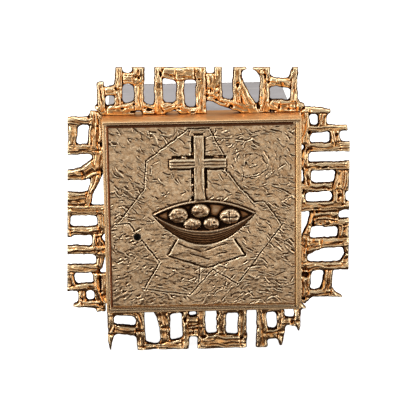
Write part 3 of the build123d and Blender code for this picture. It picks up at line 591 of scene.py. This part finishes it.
def door_relief():
    wide, tall = (PANEL_HIGH.x - PANEL_LOW.x) / MM, (PANEL_HIGH.z - PANEL_LOW.z) / MM
    xs = np.linspace(PANEL_LOW.x / MM, PANEL_HIGH.x / MM + 0.8, int(wide / PITCH) + 2)
    zs = np.linspace(PANEL_LOW.z / MM, PANEL_HIGH.z / MM, int(tall / PITCH) + 1)
    X, Z = np.meshgrid(xs, zs)
    rng = np.random.RandomState(11)
    height = knife_strokes(X, Z, xs, zs, rng)

    # X and Z wavering like hand-drawn lines
    wx, wz = X + 0.7 * noise(X / 7, Z / 7, 401), Z + 0.7 * noise(X / 7, Z / 7, 402)
    scribes = list(zip(OUTLINE[:-1], OUTLINE[1:])) + [((-5, -80), (-8, -104))]
    for a, b in scribes:
        away, side = near_line(wx, wz, a, b)
        height -= 2.1 * unit(1 - away / 1.5) * (0.75 + 0.25 * noise(X / 5, Z / 5, 403))
        height += 0.7 * bell(side - 1.9, 0.7) * (away < 3.2) * (away > 0.8)

    # cross
    broken = np.clip(0.7 + 1.2 * noise(X / 7, Z / 7, 405), 0.05, 1.25)
    for *edges, depth in CROSS_GROOVES:
        height -= depth * broken * step(0.9, -0.4, box_field(wx, wz, *edges))
    arm_edge = box_field(X, wz, -50, 36, 76.4, 90.6)
    ribs = 1.2 * np.abs(np.sin((wz - 76.2) / 14.4 * 3 * pi)) ** 0.7
    arm = step(0.6, -1, arm_edge) * (1.7 + ribs + 0.3 * noise(X / 13, Z / 1.6, 411))
    arm += 0.9 * bell(X + 47, 3.2) * (arm_edge < 0)
    height = np.where(arm_edge < 0.6, np.maximum(height, arm), height)
    widen = 0.5 * noise(Z / 8, 0 * Z + 3.1, 412) + 1.6 * step(40, 22, Z)
    post_edge = np.maximum(np.maximum(-12.6 - X, X - 2.6 - widen), np.maximum(20 - Z, Z - 126.8))
    lines = 2.6 * np.abs(fbm((wx + 0.8 * noise(Z / 11, X / 9, 415)) / 3, Z / 30, 413, 2)) - 0.6
    post = step(0.5, -0.9, post_edge) * (3 + 0.6 * lines + 0.4 * np.cos((X + 5) / 7.6 * 1.4))
    height = np.where(post_edge < 0.5, np.maximum(height, post), height)
    split = near_line(wx, wz, (4.3, 124), (3.6, 96))[0]
    height -= 1.1 * bell(split, 0.9)

    # cloth under the bowl
    cloth_edge = polygon_field(wx, wz, CLOTH)
    cloth = 1.4 + 0.35 * fbm(X / 11, Z / 3, 421) + 0.4 * noise(X / 21, Z / 9, 422)
    height = np.where(cloth_edge < 0, cloth * step(0, -1, cloth_edge) + height * 0.2, height)
    trim = np.clip(0.8 + 0.7 * noise(X / 8, Z / 8, 423), 0.3, 1.3) * (1 + 0.6 * step(30, 50, X))
    height -= 2 * trim * bell(cloth_edge - 1.3, 1.15) * (Z < -36)
    for a, b in CLOTH_MARKS:
        away = near_line(wx, wz, a, b)[0]
        height -= 1.2 * bell(away, 0.9)

    # bowl with its loaves
    u = (X - 1.5) / 78.5
    back_line = 26 - 20.5 * u ** 2
    inner_line = -21 + 26.5 * u ** 2
    keel_line = -42 + 47.5 * u ** 2
    within = np.abs(u) < 1
    rim_band = within & (Z < back_line) & (Z > inner_line)
    from_back = back_line - Z
    bowl = 1.7 * bell(from_back - 1.8, 1.5) - 2.2 * step(1.5, 7, from_back)
    bowl = bowl + 0.9 * step(0.45, 0.9, np.abs(u)) + 0.25 * fbm(X / 13, Z / 4, 431)
    height = np.where(rim_band, bowl, height)
    height -= bell(Z - back_line - 1, 0.9) * within
    for number, (x, z, a, b) in enumerate(LOAVES):
        dx, dz = (wx - x) / a, (wz - z) / b
        rho = np.sqrt(dx ** 2 + dz ** 2)
        dome = 0.6 + 5.2 * np.sqrt(unit(1 - rho ** 2.4))
        facets = np.abs(noise((X - x) / 5.2 + 7 * number, (Z - z) / 5.2, 441 + number))
        dome = dome + 1.7 * facets - 0.5 + 0.5 * noise((X - x) / 2.4, (Z - z) / 2.4, 447 + number)
        if number == 4:
            for start, end in (((31, -1), (51, 0)), ((39, 9), (41, -9))):
                dome -= 1.6 * bell(near_line(wx, wz, start, end)[0], 0.9)
        gap = rim_band & (rho < 1.14)
        height = np.where(gap, np.where(rho < 1, np.maximum(dome, -3.2), -3.4), height)
    band = within & (Z <= inner_line) & (Z >= keel_line)
    thick = np.maximum(inner_line - keel_line, 0.5)
    v = unit((Z - keel_line) / thick)
    hull = 6.3 * v ** 0.62 * (0.35 + 0.65 * unit(1.25 * (1 - np.abs(u))) ** 0.5)
    for level, depth in ((0.20, 0.7), (0.40, 0.8), (0.58, 0.7), (0.78, 0.6)):
        hull -= depth * bell((v - level - 0.02 * noise(X / 9, 0 * X, 451)) * thick, 0.75)
    hull = hull - 0.5 * bell((v - 1) * thick, 0.6) + 0.2 * fbm(X / 15, Z / 2.2, 452)
    height = np.where(band, hull, height)
    height -= 1.8 * bell(Z - keel_line + 1.2, 1) * within * (Z < keel_line)

    height += 0.05 * fbm(X / 1.7, Z / 1.7, 461)
    ring = np.hypot(X - KEY_X, Z - KEY_Z)
    height = height * step(KEY_RADIUS, KEY_RADIUS + 4, ring) + 0.5 * bell(ring - KEY_RADIUS - 1.3, 0.9)
    border = np.minimum(np.minimum(X - xs[0], xs[-1] - X), np.minimum(Z - zs[0], zs[-1] - Z))
    height = height * step(0, 2.5, border) - 0.4 * step(1.4, 0, border)

    front = np.clip(PANEL_FACE - height, RELIEF_TOP + 0.02, PANEL_BACK - 1.0)
    relief = -front
    inside = np.maximum(KEY_RADIUS + 0.15 - ring, -border - 0.4 * PITCH)
    fine = unit((blur(relief, 1.5 / PITCH) - relief - 0.06) / 0.5)
    broad = unit((blur(relief, 4.5 / PITCH) - relief - 0.2) / 1.7)
    # Painted shadow along the panel's left, lower and upper edges, under the door's rim.
    shaded_edge = np.minimum(np.minimum(X - xs[0], Z - zs[0]), zs[-1] - Z)
    patina_and_shade = unit(0.9 * fine + 0.6 * broad + 0.55 * step(1.6, 0.9, shaded_edge))
    # Painted shade on the bowl: the hull is darker low down and under its inner line, and the bowl's inside
    # is a little darker.
    painted_shade = band * (0.42 * step(1.0, 0.55, v) + 0.35 * step(0.80, 1.0, v)) + 0.25 * rim_band
    patina_and_shade = unit(patina_and_shade + painted_shade)
    # Crests: brightened in the material, partly as wear and partly as painted highlight.
    crest = unit((relief - blur(relief, 1.4 / PITCH) - 0.03) / 0.38)
    zero = np.zeros(X.shape)
    obj = relief_solid("door_relief", xs, zs, inside, front, np.full(X.shape, PANEL_BACK),
                       [("patina_and_shade", patina_and_shade, zero), ("crest", crest, zero)])
    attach(obj, "door")
    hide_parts("relief_panel")


# ---- beads and welds
def link_piece(name, verts, faces, body):
    """Piece from millimetre vertices, with its normals turned outwards."""
    mesh = bpy.data.meshes.new(name)
    mesh.from_pydata([tuple(c * MM for c in v) for v in verts], [], faces)
    shape = bmesh.new()
    shape.from_mesh(mesh)
    bmesh.ops.recalc_face_normals(shape, faces=shape.faces)
    shape.to_mesh(mesh)
    shape.free()
    mesh.shade_smooth()
    obj = add_object(name, mesh)
    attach(obj, body)
    return obj


def moulding(name, body, path, closed, profile, base, pitch, swell):
    """Profile of (outward, rearward) points swept with mitres over corners (x, z).

    swell(number) scales the profile at a station."""
    count = len(path)
    frames = []
    for i, (x, z) in enumerate(path):
        before = path[i - 1] if i or closed else None
        after = path[(i + 1) % count] if i < count - 1 or closed else None
        normals = []
        for a, b in ((before, (x, z)), ((x, z), after)):
            if a is not None and b is not None:
                length = hypot(b[0] - a[0], b[1] - a[1])
                normals.append(Vector(((b[1] - a[1]) / length, -(b[0] - a[0]) / length)))
        lean = normals[0]
        if len(normals) == 2:
            lean = (lean + normals[1]) / (1 + lean.dot(normals[1]))
        frames.append((Vector((x, z)), lean))
    stations = []
    for i in range(count if closed else count - 1):
        (place, lean), (next_place, next_lean) = frames[i], frames[(i + 1) % count]
        n = max(2, round((next_place - place).length / pitch))
        parts = [0.0, 0.3 / n] + [k / n for k in range(1, n)] + [1 - 0.3 / n]
        stations += [(place.lerp(next_place, t), lean.lerp(next_lean, t)) for t in parts]
    if not closed:
        stations.append(frames[-1])
    verts, faces = [], []
    for r, (place, lean) in enumerate(stations):
        for out, back in profile:
            spot = place + lean * out * swell(r)
            verts.append((spot.x, FRONT + base + back * swell(r), spot.y))
    rows, around = len(stations), len(profile)
    for r in range(rows if closed else rows - 1):
        here, there = r * around, (r + 1) % rows * around
        for k in range(around):
            after = (k + 1) % around
            faces.append((here + k, here + after, there + after, there + k))
    if not closed:
        faces += [tuple(range(around - 1, -1, -1)), tuple((rows - 1) * around + k for k in range(around))]
    link_piece(name, verts, faces, body)


def square(half):
    return [(-half, -half), (half, -half), (half, half), (-half, half)]


ARC = [pi * k / 10 for k in range(11)]
waver = noise(np.arange(4000) / 3.0, np.zeros(4000), 701)
ripple = np.abs(np.sin(np.arange(4000) * pi / 2.0 + 0.7)) * 0.22 + 0.80 + 0.10 * waver


def slight(r):
    return 1 + 0.03 * waver[r]


def dimes(r):
    return float(ripple[r])


TRAY_LOW, TRAY_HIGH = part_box("door_tray")
BOX_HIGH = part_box("strongbox_shell")[1]
LIP = HALF - 1.45
moulding("collar_bead", "casing", square(LIP), True,
         [(1.25 * cos(t), -1.1 * sin(t)) for t in ARC], 0.05, 8, slight)
RIM_X, RIM_LOW, RIM_HIGH = TRAY_LOW.x / MM + 0.95, TRAY_LOW.z / MM + 0.95, TRAY_HIGH.z / MM - 0.95
RIM_END = PANEL_HIGH.x / MM - 1.5
moulding("door_bead", "door",
         [(RIM_END, RIM_LOW), (RIM_X, RIM_LOW), (RIM_X, RIM_HIGH), (RIM_END, RIM_HIGH)], False,
         [(0.75 * cos(t), -0.7 * sin(t)) for t in ARC], 0.05, 8, slight)
moulding("back_weld", "casing", square(BOX_HIGH.x / MM - 0.1), True,
         [(1.3 * sin(t), 2.8 * cos(t)) for t in ARC], BOX_HIGH.y / MM - FRONT, 1.7, dimes)
moulding("collar_weld", "casing", square(BOX_HIGH.x / MM - 0.1), True,
         [(0, 0)] + [(4.2 * cos(t / 2), 4.2 * sin(t / 2)) for t in ARC], COLLAR_HIGH.y / MM - FRONT - 0.1,
         1.9, dimes)


# ---- slotted screws
def screw_places(node):
    """Low and high corner, in mm, of each separate screw in a CAD node."""
    shape = bmesh.new()
    shape.from_mesh(frame["nodes"][node].data)
    bmesh.ops.remove_doubles(shape, verts=shape.verts, dist=1e-6)
    seen, places = set(), []
    for start in shape.verts:
        if start in seen:
            continue
        seen.add(start)
        group = [start]
        for vert in group:
            joined = {edge.other_vert(vert) for edge in vert.link_edges} - seen
            seen |= joined
            group += joined
        points = np.array([v.co for v in group]) / MM
        places.append((Vector(points.min(0)), Vector(points.max(0))))
    shape.free()
    return places


HEAD_ROWS = [0.13, 0.15, 0.35, 0.55, 0.75, 0.9, 0.985]      # from the slot outwards, as shares of the radius
HEAD_ROWS = [-row for row in reversed(HEAD_ROWS)] + HEAD_ROWS
HEAD_COLUMNS, SHANK_SIDES = 15, 12


def slotted_screws(node, body, head_height, shank_radius):
    """Slotted domed heads on threaded shanks, each inside the space of its CAD screw."""
    verts, faces = [], []
    grid = np.arange(len(HEAD_ROWS) * HEAD_COLUMNS).reshape(-1, HEAD_COLUMNS)
    border = [*grid[0], *grid[1:, -1], *grid[-1, -2::-1], *grid[-2:0:-1, 0]]
    rng = np.random.RandomState(len(node))
    for low, high in screw_places(node):
        size, centre = high - low, (low + high) / 2
        if abs(size.x - size.z) < 0.2:
            way = Vector((0, 1 if body == "door" else -1, 0))
            radius, length = size.x / 2, size.y
        else:
            way = Vector((-centre.x, 0, 0)) if size.x > size.z else Vector((0, 0, -centre.z))
            radius, length = size.y / 2, max(size.x, size.z)
        way.normalize()
        seat = centre + way * (length / 2 - head_height)
        u = way.orthogonal().normalized()
        turn = rng.uniform(0, pi)
        u = u * cos(turn) + way.cross(u) * sin(turn)
        v = way.cross(u)
        start = len(verts)
        for top in (True, False):
            for row in HEAD_ROWS:
                for k in range(HEAD_COLUMNS):
                    along = -cos(pi * k / (HEAD_COLUMNS - 1)) * sqrt(1 - row * row)
                    rho = min(1.0, along * along + row * row)
                    rise = 0.35 if abs(row) < 0.14 else 0.55 + 0.45 * sqrt(1 - rho * 0.999)
                    side = u * along * radius + v * row * radius
                    verts.append(seat + side + way * (rise * head_height * top))
        corners = grid[:-1, :-1].reshape(-1, 1) + [0, 1, HEAD_COLUMNS + 1, HEAD_COLUMNS]
        faces += (corners + start).tolist() + (corners + start + grid.size).tolist()
        for a, b in zip(border, border[1:] + border[:1]):
            faces.append([int(start + c) for c in (a, b, grid.size + b, grid.size + a)])
        start = len(verts)
        depth = length - head_height
        rings = max(4, int(depth / 0.55))
        for ring in range(rings + 1):
            wide = shank_radius * (0.84 if ring % 2 else 0.98)
            for k in range(SHANK_SIDES):
                angle = 2 * pi * k / SHANK_SIDES
                verts.append(seat - way * (depth * ring / rings) + (u * cos(angle) + v * sin(angle)) * wide)
        for ring in range(start, start + rings * SHANK_SIDES, SHANK_SIDES):
            for k in range(SHANK_SIDES):
                a, b = ring + k, ring + (k + 1) % SHANK_SIDES
                faces.append((a, b, b + SHANK_SIDES, a + SHANK_SIDES))
        last = start + rings * SHANK_SIDES
        faces += [range(start, start + SHANK_SIDES), range(last + SHANK_SIDES - 1, last - 1, -1)]
    obj = link_piece(f"slotted_{node}", verts, faces, body)
    obj.data.shade_flat()
    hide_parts(node)


slotted_screws("panel_screws", "door", 1.8, 2.0)
slotted_screws("lock_screws", "door", 1.4, 1.6)
slotted_screws("strike_screws", "casing", 1.4, 1.5)
for side in BRANCHES:
    slotted_screws(f"ornament_screws_{side}", "casing", 2.0, 2.5)


# ---- materials
class Nodes:
    """Small helper for building a node tree."""

    def __init__(self, tree):
        self.tree = tree
        self.coordinates = self.add("ShaderNodeTexCoord").outputs

    def add(self, kind, inputs=None, **values):
        node = self.tree.nodes.new(kind)
        for key, value in values.items():
            setattr(node, key, value)
        for key, value in (inputs or {}).items():
            node.inputs[key].default_value = value
        return node

    def link(self, source, target):
        self.tree.links.new(source, target)

    def attribute(self, name):
        return self.add("ShaderNodeAttribute", attribute_name=name).outputs["Fac"]

    def axes(self, vector):
        node = self.add("ShaderNodeSeparateXYZ")
        self.link(vector, node.inputs["Vector"])
        return node.outputs

    def noise(self, scale, detail=3, stretch=(1, 1, 1)):
        mapping = self.add("ShaderNodeMapping", {"Scale": stretch})
        self.link(self.coordinates["Object"], mapping.inputs["Vector"])
        node = self.add("ShaderNodeTexNoise", {"Scale": scale, "Detail": detail, "Roughness": 0.55})
        self.link(mapping.outputs["Vector"], node.inputs["Vector"])
        return node.outputs["Fac"]

    def remap(self, value, low, high, to_low=0, to_high=1):
        limits = {"From Min": low, "From Max": high, "To Min": to_low, "To Max": to_high}
        node = self.add("ShaderNodeMapRange", limits, clamp=True)
        self.link(value, node.inputs["Value"])
        return node.outputs["Result"]

    def math(self, operation, a, b):
        node = self.add("ShaderNodeMath", operation=operation)
        for socket, value in zip(node.inputs, (a, b)):
            if isinstance(value, (int, float)):
                socket.default_value = value
            else:
                self.link(value, socket)
        return node.outputs["Value"]

    def product(self, *values):
        total = values[0]
        for value in values[1:]:
            total = self.math("MULTIPLY", total, value)
        return total

    def opposite(self, value):
        """1 minus the value."""
        return self.remap(value, 0, 1, 1, 0)

    def mix(self, factor, a, b):
        node = self.add("ShaderNodeMix", data_type="RGBA")
        self.link(factor, node.inputs["Factor"])
        for socket, value in zip(node.inputs[6:8], (a, b)):     # the colour sockets
            if isinstance(value, tuple):
                socket.default_value = (*value, 1)
            else:
                self.link(value, socket)
        return node.outputs[2]

    def edges(self, radius):
        """1 on sharp edges, 0 elsewhere."""
        bevel = self.add("ShaderNodeBevel", {"Radius": radius}, samples=4)
        dot = self.add("ShaderNodeVectorMath", operation="DOT_PRODUCT")
        self.link(bevel.outputs["Normal"], dot.inputs[0])
        self.link(self.add("ShaderNodeNewGeometry").outputs["Normal"], dot.inputs[1])
        return self.remap(dot.outputs["Value"], 0.98, 0.75)

    def occlusion(self, distance):
        """Low in narrow gaps, 1 in the open."""
        return self.add("ShaderNodeAmbientOcclusion", {"Distance": distance}, samples=16).outputs["AO"]

    def facing_up(self):
        """1 where the surface faces up, 0 where it is upright."""
        return self.remap(self.axes(self.add("ShaderNodeNewGeometry").outputs["Normal"])["Z"], 0.3, 0.9)


class Material(Nodes):
    def __init__(self, name):
        self.material = bpy.data.materials.new(name)
        self.material.use_nodes = True
        super().__init__(self.material.node_tree)
        self.shader = self.tree.nodes["Principled BSDF"]

    def bump(self, height, distance, strength):
        node = self.add("ShaderNodeBump", {"Distance": distance, "Strength": strength})
        self.link(height, node.inputs["Height"])
        self.link(node.outputs["Normal"], self.shader.inputs["Normal"])

    def finish(self, color, roughness, metallic=1):
        self.shader.inputs["Metallic"].default_value = metallic
        self.link(color, self.shader.inputs["Base Color"])
        self.link(roughness, self.shader.inputs["Roughness"])
        return self.material


def cast_bronze(name, low, middle, high, umber, deep, rough):
    """Polished casting: umber then dark patina into the hollows, with painted shade mixed in the same way;
    crests brightened, partly by wear and partly as painted highlight.
    """
    n = Material(name)
    blotch = n.remap(n.noise(210), 0.4, 0.65)
    body = n.mix(n.remap(n.noise(75, 4), 0.38, 0.62), low, middle)
    body = n.mix(n.product(blotch, 0.45), body, high)
    # Painted highlight, partly wear: crests are mixed to the bright colour.
    body = n.mix(n.remap(n.attribute("crest"), 0.15, 1), body, high)
    # Dark patina in the hollows, and painted shade on shaded walls and edges, darken the colour.
    patina_and_shade_mask = n.math("ADD", n.attribute("patina_and_shade"), n.product(n.noise(420, 2), 0.2))
    patina_and_shade_mask = n.remap(patina_and_shade_mask, 0.25, 0.8)
    color = n.mix(n.remap(patina_and_shade_mask, 0, 0.55), body, umber)
    color = n.mix(n.remap(patina_and_shade_mask, 0.45, 1), color, deep)
    roughness = n.remap(n.noise(320), 0.3, 0.7, rough - 0.05, rough + 0.09)
    roughness = n.math("ADD", roughness, n.product(patina_and_shade_mask, 0.32))
    n.bump(n.noise(900), 0.00012, 0.4)
    return n.finish(color, roughness)


# The painted shadow line between the door's bead and its relief: all in metres from the door's middle.
LINE_START, LINE_END, BLUR = 0.1408, 0.1456, 0.0003
LINE_RIGHT, LINE_LOWEST = 0.138, -0.1437
LEDGE_LOW, LEDGE_HIGH = -0.1425, -0.1400      # no line here, just under the relief


def sheet_bronze(name, low, high, worn, rough, stretch=(1, 1, 1), top=None, painted_shade=None, side_line=1):
    """Smooth gilt metal with faint drawn lines, brighter edges and painted shade in narrow gaps.

    top: two colours of the upper side, painted as the light and reflections it catches, lighter towards the
    front. painted_shade: colour of painted shade above and below the door, with the painted shadow line round
    it;
    side_line is the painted shadow line's strength at the door's left."""
    n = Material(name)
    color = n.mix(n.remap(n.noise(26, 4), 0.3, 0.7), low, high)
    if painted_shade:
        x, y, z = n.axes(n.coordinates["Object"])
        across, tall = n.math("ABSOLUTE", x, 0), n.math("ABSOLUTE", z, 0)
        upright = n.remap(n.math("SUBTRACT", across, tall), -0.003, 0.003)
        front = n.remap(y, (FRONT + 9) * MM, (FRONT + 7) * MM)
        # Painted shade: the faces above and below the door, near its front, get the darker colour.
        color = n.mix(n.product(n.opposite(upright), front), color, painted_shade)
        reach = n.math("MAXIMUM", across, tall)
        ledge = n.product(n.remap(z, LEDGE_LOW, LEDGE_LOW + BLUR),
                          n.remap(z, LEDGE_HIGH, LEDGE_HIGH - 0.0005))
        # Painted shadow: a dark line round the door's relief, under the bead.
        line = n.product(
            n.remap(reach, LINE_START, LINE_START + BLUR), n.remap(reach, LINE_END, LINE_END - BLUR),
            n.remap(x, LINE_RIGHT, LINE_RIGHT - 0.001), n.remap(z, LINE_LOWEST, LINE_LOWEST + BLUR),
            n.remap(y, (FRONT + 3.2) * MM, (FRONT + 2.8) * MM), n.opposite(ledge),
            n.remap(upright, 0, 1, 1, side_line))
    if top:
        # Painted light and reflection: upper faces are mixed to lighter, more orange colours, most towards
        # the front.
        upward = n.facing_up()
        painted_light_front = n.remap(y, (FRONT + 42) * MM, (FRONT + 6) * MM, -0.12, 0.14)
        streak = n.remap(n.math("ADD", n.noise(38, 4, (0.5, 1.5, 1)), painted_light_front), 0.35, 0.75)
        color = n.mix(upward, color, n.mix(streak, *top))
    color = n.mix(n.edges(0.0020), color, worn)
    # Painted shade: red-brown darkening in narrow gaps, from ambient occlusion.
    color = n.mix(n.product(n.remap(n.occlusion(0.006), 0.62, 0.30), 0.85), color, (0.24, 0.075, 0.03))
    if painted_shade:
        # Painted shadow line, darker above and below the door than at its sides.
        color = n.mix(line, color, n.mix(upright, (0.10, 0.036, 0.015), (0.36, 0.125, 0.05)))
    marks = n.remap(n.noise(140, 4, stretch), 0.45, 0.7)
    roughness = n.remap(n.noise(60, 3, stretch), 0.3, 0.7, rough - 0.04, rough + 0.05)
    roughness = n.math("ADD", roughness, n.product(marks, 0.08))
    if top:
        roughness = n.math("ADD", roughness, n.product(upward, 0.22))
    n.bump(n.noise(90, 2, stretch), 0.00005, 0.3)
    return n.finish(color, roughness)


def painted_steel(name, low, high, worn, grime_and_shade):
    """Matt grey paint: wiped streaks of grime, scratches, edges chipped to dark primer, painted shade in the
    corners.
    """
    n = Material(name)
    color = n.mix(n.remap(n.noise(11, 5), 0.32, 0.68), low, high)
    streaks = n.remap(n.noise(16, 6, (1, 1, 0.14)), 0.50, 0.78)
    color = n.mix(n.product(streaks, 0.55), color, grime_and_shade)
    speck = n.remap(n.noise(420, 2), 0.66, 0.71)
    color = n.mix(n.product(speck, 0.35), color, worn)
    for stretch in ((1.3, 0.04, 1), (0.05, 1, 1.2)):
        scratch = n.remap(n.noise(120, 2, stretch), 0.71, 0.75)
        color = n.mix(n.product(scratch, 0.8), color, (0.62, 0.61, 0.62))
    # Painted shade: corners darkened from ambient occlusion.
    corner = n.remap(n.occlusion(0.03), 0.75, 0.35)
    color = n.mix(n.product(corner, 0.55), color, grime_and_shade)
    chipped = n.product(n.edges(0.0035), n.remap(n.noise(110, 4), 0.44, 0.52))
    color = n.mix(chipped, color, worn)
    roughness = n.remap(n.noise(60, 4), 0.3, 0.7, 0.44, 0.66)
    n.shader.inputs["Specular IOR Level"].default_value = 0.25
    n.bump(n.math("SUBTRACT", n.noise(620, 2), chipped), 0.0002, 0.45)
    return n.finish(color, roughness, 0)


def bare_steel(name, low, high, rough):
    n = Material(name)
    color = n.mix(n.remap(n.noise(70, 4), 0.3, 0.7), low, high)
    color = n.mix(n.edges(0.0006), color, tuple(min(1, 1.35 * c) for c in high))
    roughness = n.remap(n.noise(240), 0.3, 0.7, rough - 0.07, rough + 0.1)
    n.bump(n.noise(900, 2), 0.00006, 0.4)
    return n.finish(color, roughness)


for number, side in enumerate(BRANCHES):
    casting(side, 100 * (number + 1))
door_relief()

ALONG_Y = (0.15, 1, 0.15)
MATERIALS = {
    "cast_bronze": cast_bronze(
        "gilt_casting", (0.66, 0.28, 0.07), (0.84, 0.48, 0.19), (0.98, 0.77, 0.48), (0.50, 0.17, 0.04),
        (0.030, 0.010, 0.004), 0.20),
    "relief_bronze": cast_bronze(
        "relief_casting", (0.55, 0.35, 0.185), (0.66, 0.455, 0.265), (1, 0.86, 0.62), (0.32, 0.15, 0.06),
        (0.025, 0.012, 0.007), 0.29),
    "polished_bronze": sheet_bronze(
        "collar_bronze", (0.62, 0.35, 0.16), (0.74, 0.46, 0.23), (1, 0.80, 0.52), 0.24, ALONG_Y,
        top=((0.74, 0.36, 0.12), (0.93, 0.67, 0.37)), painted_shade=(0.33, 0.18, 0.085)),
    "bead_bronze": sheet_bronze(
        "bead_bronze", (0.92, 0.60, 0.29), (1, 0.73, 0.41), (1, 0.84, 0.57), 0.26, ALONG_Y,
        painted_shade=(0.46, 0.27, 0.12), side_line=0),
    "hinge_bronze": sheet_bronze(
        "hinge_bronze", (0.84, 0.57, 0.28), (0.92, 0.68, 0.38), (1, 0.84, 0.58), 0.24, (1, 1, 0.1)),
    "gilt_liner": sheet_bronze(
        "liner_gilt", (0.78, 0.56, 0.25), (0.86, 0.66, 0.34), (0.93, 0.76, 0.46), 0.34, (0.3, 1, 1)),
    "grey_steel": painted_steel(
        "grey_paint", (0.41, 0.40, 0.42), (0.48, 0.47, 0.49), (0.17, 0.155, 0.145), (0.30, 0.285, 0.275)),
    "steel": bare_steel("bright_steel", (0.48, 0.48, 0.48), (0.62, 0.61, 0.60), 0.3),
    "lock_black": bare_steel("dark_plug_and_keyhole_shade", (0.008, 0.007, 0.006), (0.02, 0.017, 0.015), 0.35),
    "dark_steel": bare_steel("dark_steel", (0.10, 0.085, 0.07), (0.17, 0.15, 0.13), 0.42),
}
FINISH_OF = {"door_relief": "relief_bronze", "collar_bead": "bead_bronze", "door_bead": "bead_bronze",
             "back_weld": "grey_steel", "collar_weld": "grey_steel"}
slot_of = {entry["node"]: entry["material_slot"] for entry in frame["record"]["subparts"]}
# The lock plug is nearly black: its own dark steel, with painted shade of the deep keyhole on top.
slot_of["lock_plug"] = "lock_black"
for node, obj in frame["nodes"].items():
    obj.data.materials.clear()
    obj.data.materials.append(MATERIALS[slot_of[node]])
for obj in bpy.context.scene.objects:
    if obj.type == "MESH" and not obj.data.materials:
        obj.data.materials.append(MATERIALS["steel" if obj.name.startswith("slotted") else
                                            FINISH_OF.get(obj.name, "cast_bronze")])


# ---- stage, light and camera
FLOOR_Z = CAD_BOX[0][2]
sheet = bpy.data.meshes.new("floor")
sheet.from_pydata([(x, y, FLOOR_Z) for x, y in ((-3, -1.3), (3, -1.3), (3, 4), (-3, 4))], [], [(0, 1, 2, 3)])
floor = add_object("floor", sheet)
floor.visible_glossy = floor.visible_diffuse = False
paper = Material("floor_paper")
paper.shader.inputs["Emission Color"].default_value = (1, 1, 1, 1)
paper.shader.inputs["Emission Strength"].default_value = 0.9
shade = paper.mix(paper.noise(3.0), (0.88, 0.88, 0.88), (0.92, 0.92, 0.92))
floor.data.materials.append(paper.finish(shade, paper.remap(paper.noise(8.0), 0.3, 0.7, 0.85, 0.95), 0.0))

# The camera sees white; everything else is lit by a room that is dark below and pale above.
world = bpy.data.worlds.new("studio")
bpy.context.scene.world = world
world.use_nodes = True
world.node_tree.nodes.clear()
sky = Nodes(world.node_tree)
ramp = sky.add("ShaderNodeValToRGB")
stops = ramp.color_ramp.elements
stops[0].position, stops[0].color = 0.30, (0.05, 0.03, 0.02, 1)
stops[1].position, stops[1].color = 0.85, (0.62, 0.60, 0.58, 1)
stops.new(0.52).color = (0.30, 0.25, 0.21, 1)
sky.link(sky.remap(sky.axes(sky.coordinates["Generated"])["Z"], -1.0, 1.0), ramp.inputs["Fac"])
room = sky.add("ShaderNodeBackground")
sky.link(ramp.outputs["Color"], room.inputs["Color"])
seen = sky.add("ShaderNodeBackground", {"Color": (1, 1, 1, 1), "Strength": 1.6})
either = sky.add("ShaderNodeMixShader")
sky.link(sky.add("ShaderNodeLightPath").outputs["Is Camera Ray"], either.inputs["Fac"])
sky.link(room.outputs["Background"], either.inputs[1])
sky.link(seen.outputs["Background"], either.inputs[2])
sky.link(either.outputs["Shader"], sky.add("ShaderNodeOutputWorld").inputs["Surface"])

# Softboxes: place from the door's middle, width, height, watts, colour.
middle = Vector((0, COLLAR_LOW.y, 0))
for name, offset, width, height, power, color in (
        ("key", (-1.1, -1.5, 1.5), 1.1, 0.9, 19, (1.0, 0.97, 0.93)),
        ("fill", (1.5, -1.7, 0.4), 0.8, 1.4, 8, (1.0, 0.96, 0.92)),
        ("front_low", (0.1, -2.4, -0.55), 1.8, 0.5, 3.6, (1.0, 0.95, 0.9)),
        ("left_strip", (-2.1, -0.9, 0.0), 0.6, 1.8, 16, (1.0, 0.95, 0.90)),
        ("right_strip", (2.1, -1.1, 0.0), 0.6, 1.8, 9, (1.0, 0.95, 0.90)),
        ("overhead", (0.0, 0.3, 1.9), 1.6, 1.2, 11.5, (1.0, 0.98, 0.95))):
    light = bpy.data.lights.new(name, "AREA")
    light.shape = "RECTANGLE"
    light.size, light.size_y = width, height
    light.energy = power
    light.color = color
    box = add_object(name, light)
    box.location = middle + Vector(offset)
    box.rotation_euler = (middle - box.location).to_track_quat("-Z", "Y").to_euler()

YAW, DOWN, ROLL = radians(1.9404), radians(14.98), radians(-0.6801)
DISTANCE = 2.70428
ahead = Vector((sin(YAW) * cos(DOWN), cos(YAW) * cos(DOWN), -sin(DOWN)))
right = Vector((cos(YAW), -sin(YAW), 0))
up = right.cross(ahead)
right, up = right * cos(ROLL) + up * sin(ROLL), up * cos(ROLL) - right * sin(ROLL)
lens = bpy.data.cameras.new("camera")
lens.sensor_width = 36.0
lens.lens = 154.28
camera = add_object("camera", lens)
camera.matrix_world = Matrix((
    (right.x, up.x, -ahead.x, 0), (right.y, up.y, -ahead.y, 0), (right.z, up.z, -ahead.z, 0), (0, 0, 0, 1)))
camera.location = middle + Vector((0.007618, 0, 0.014477)) - ahead * DISTANCE
bpy.context.scene.camera = camera
bpy.context.scene.view_settings.view_transform = "Standard"
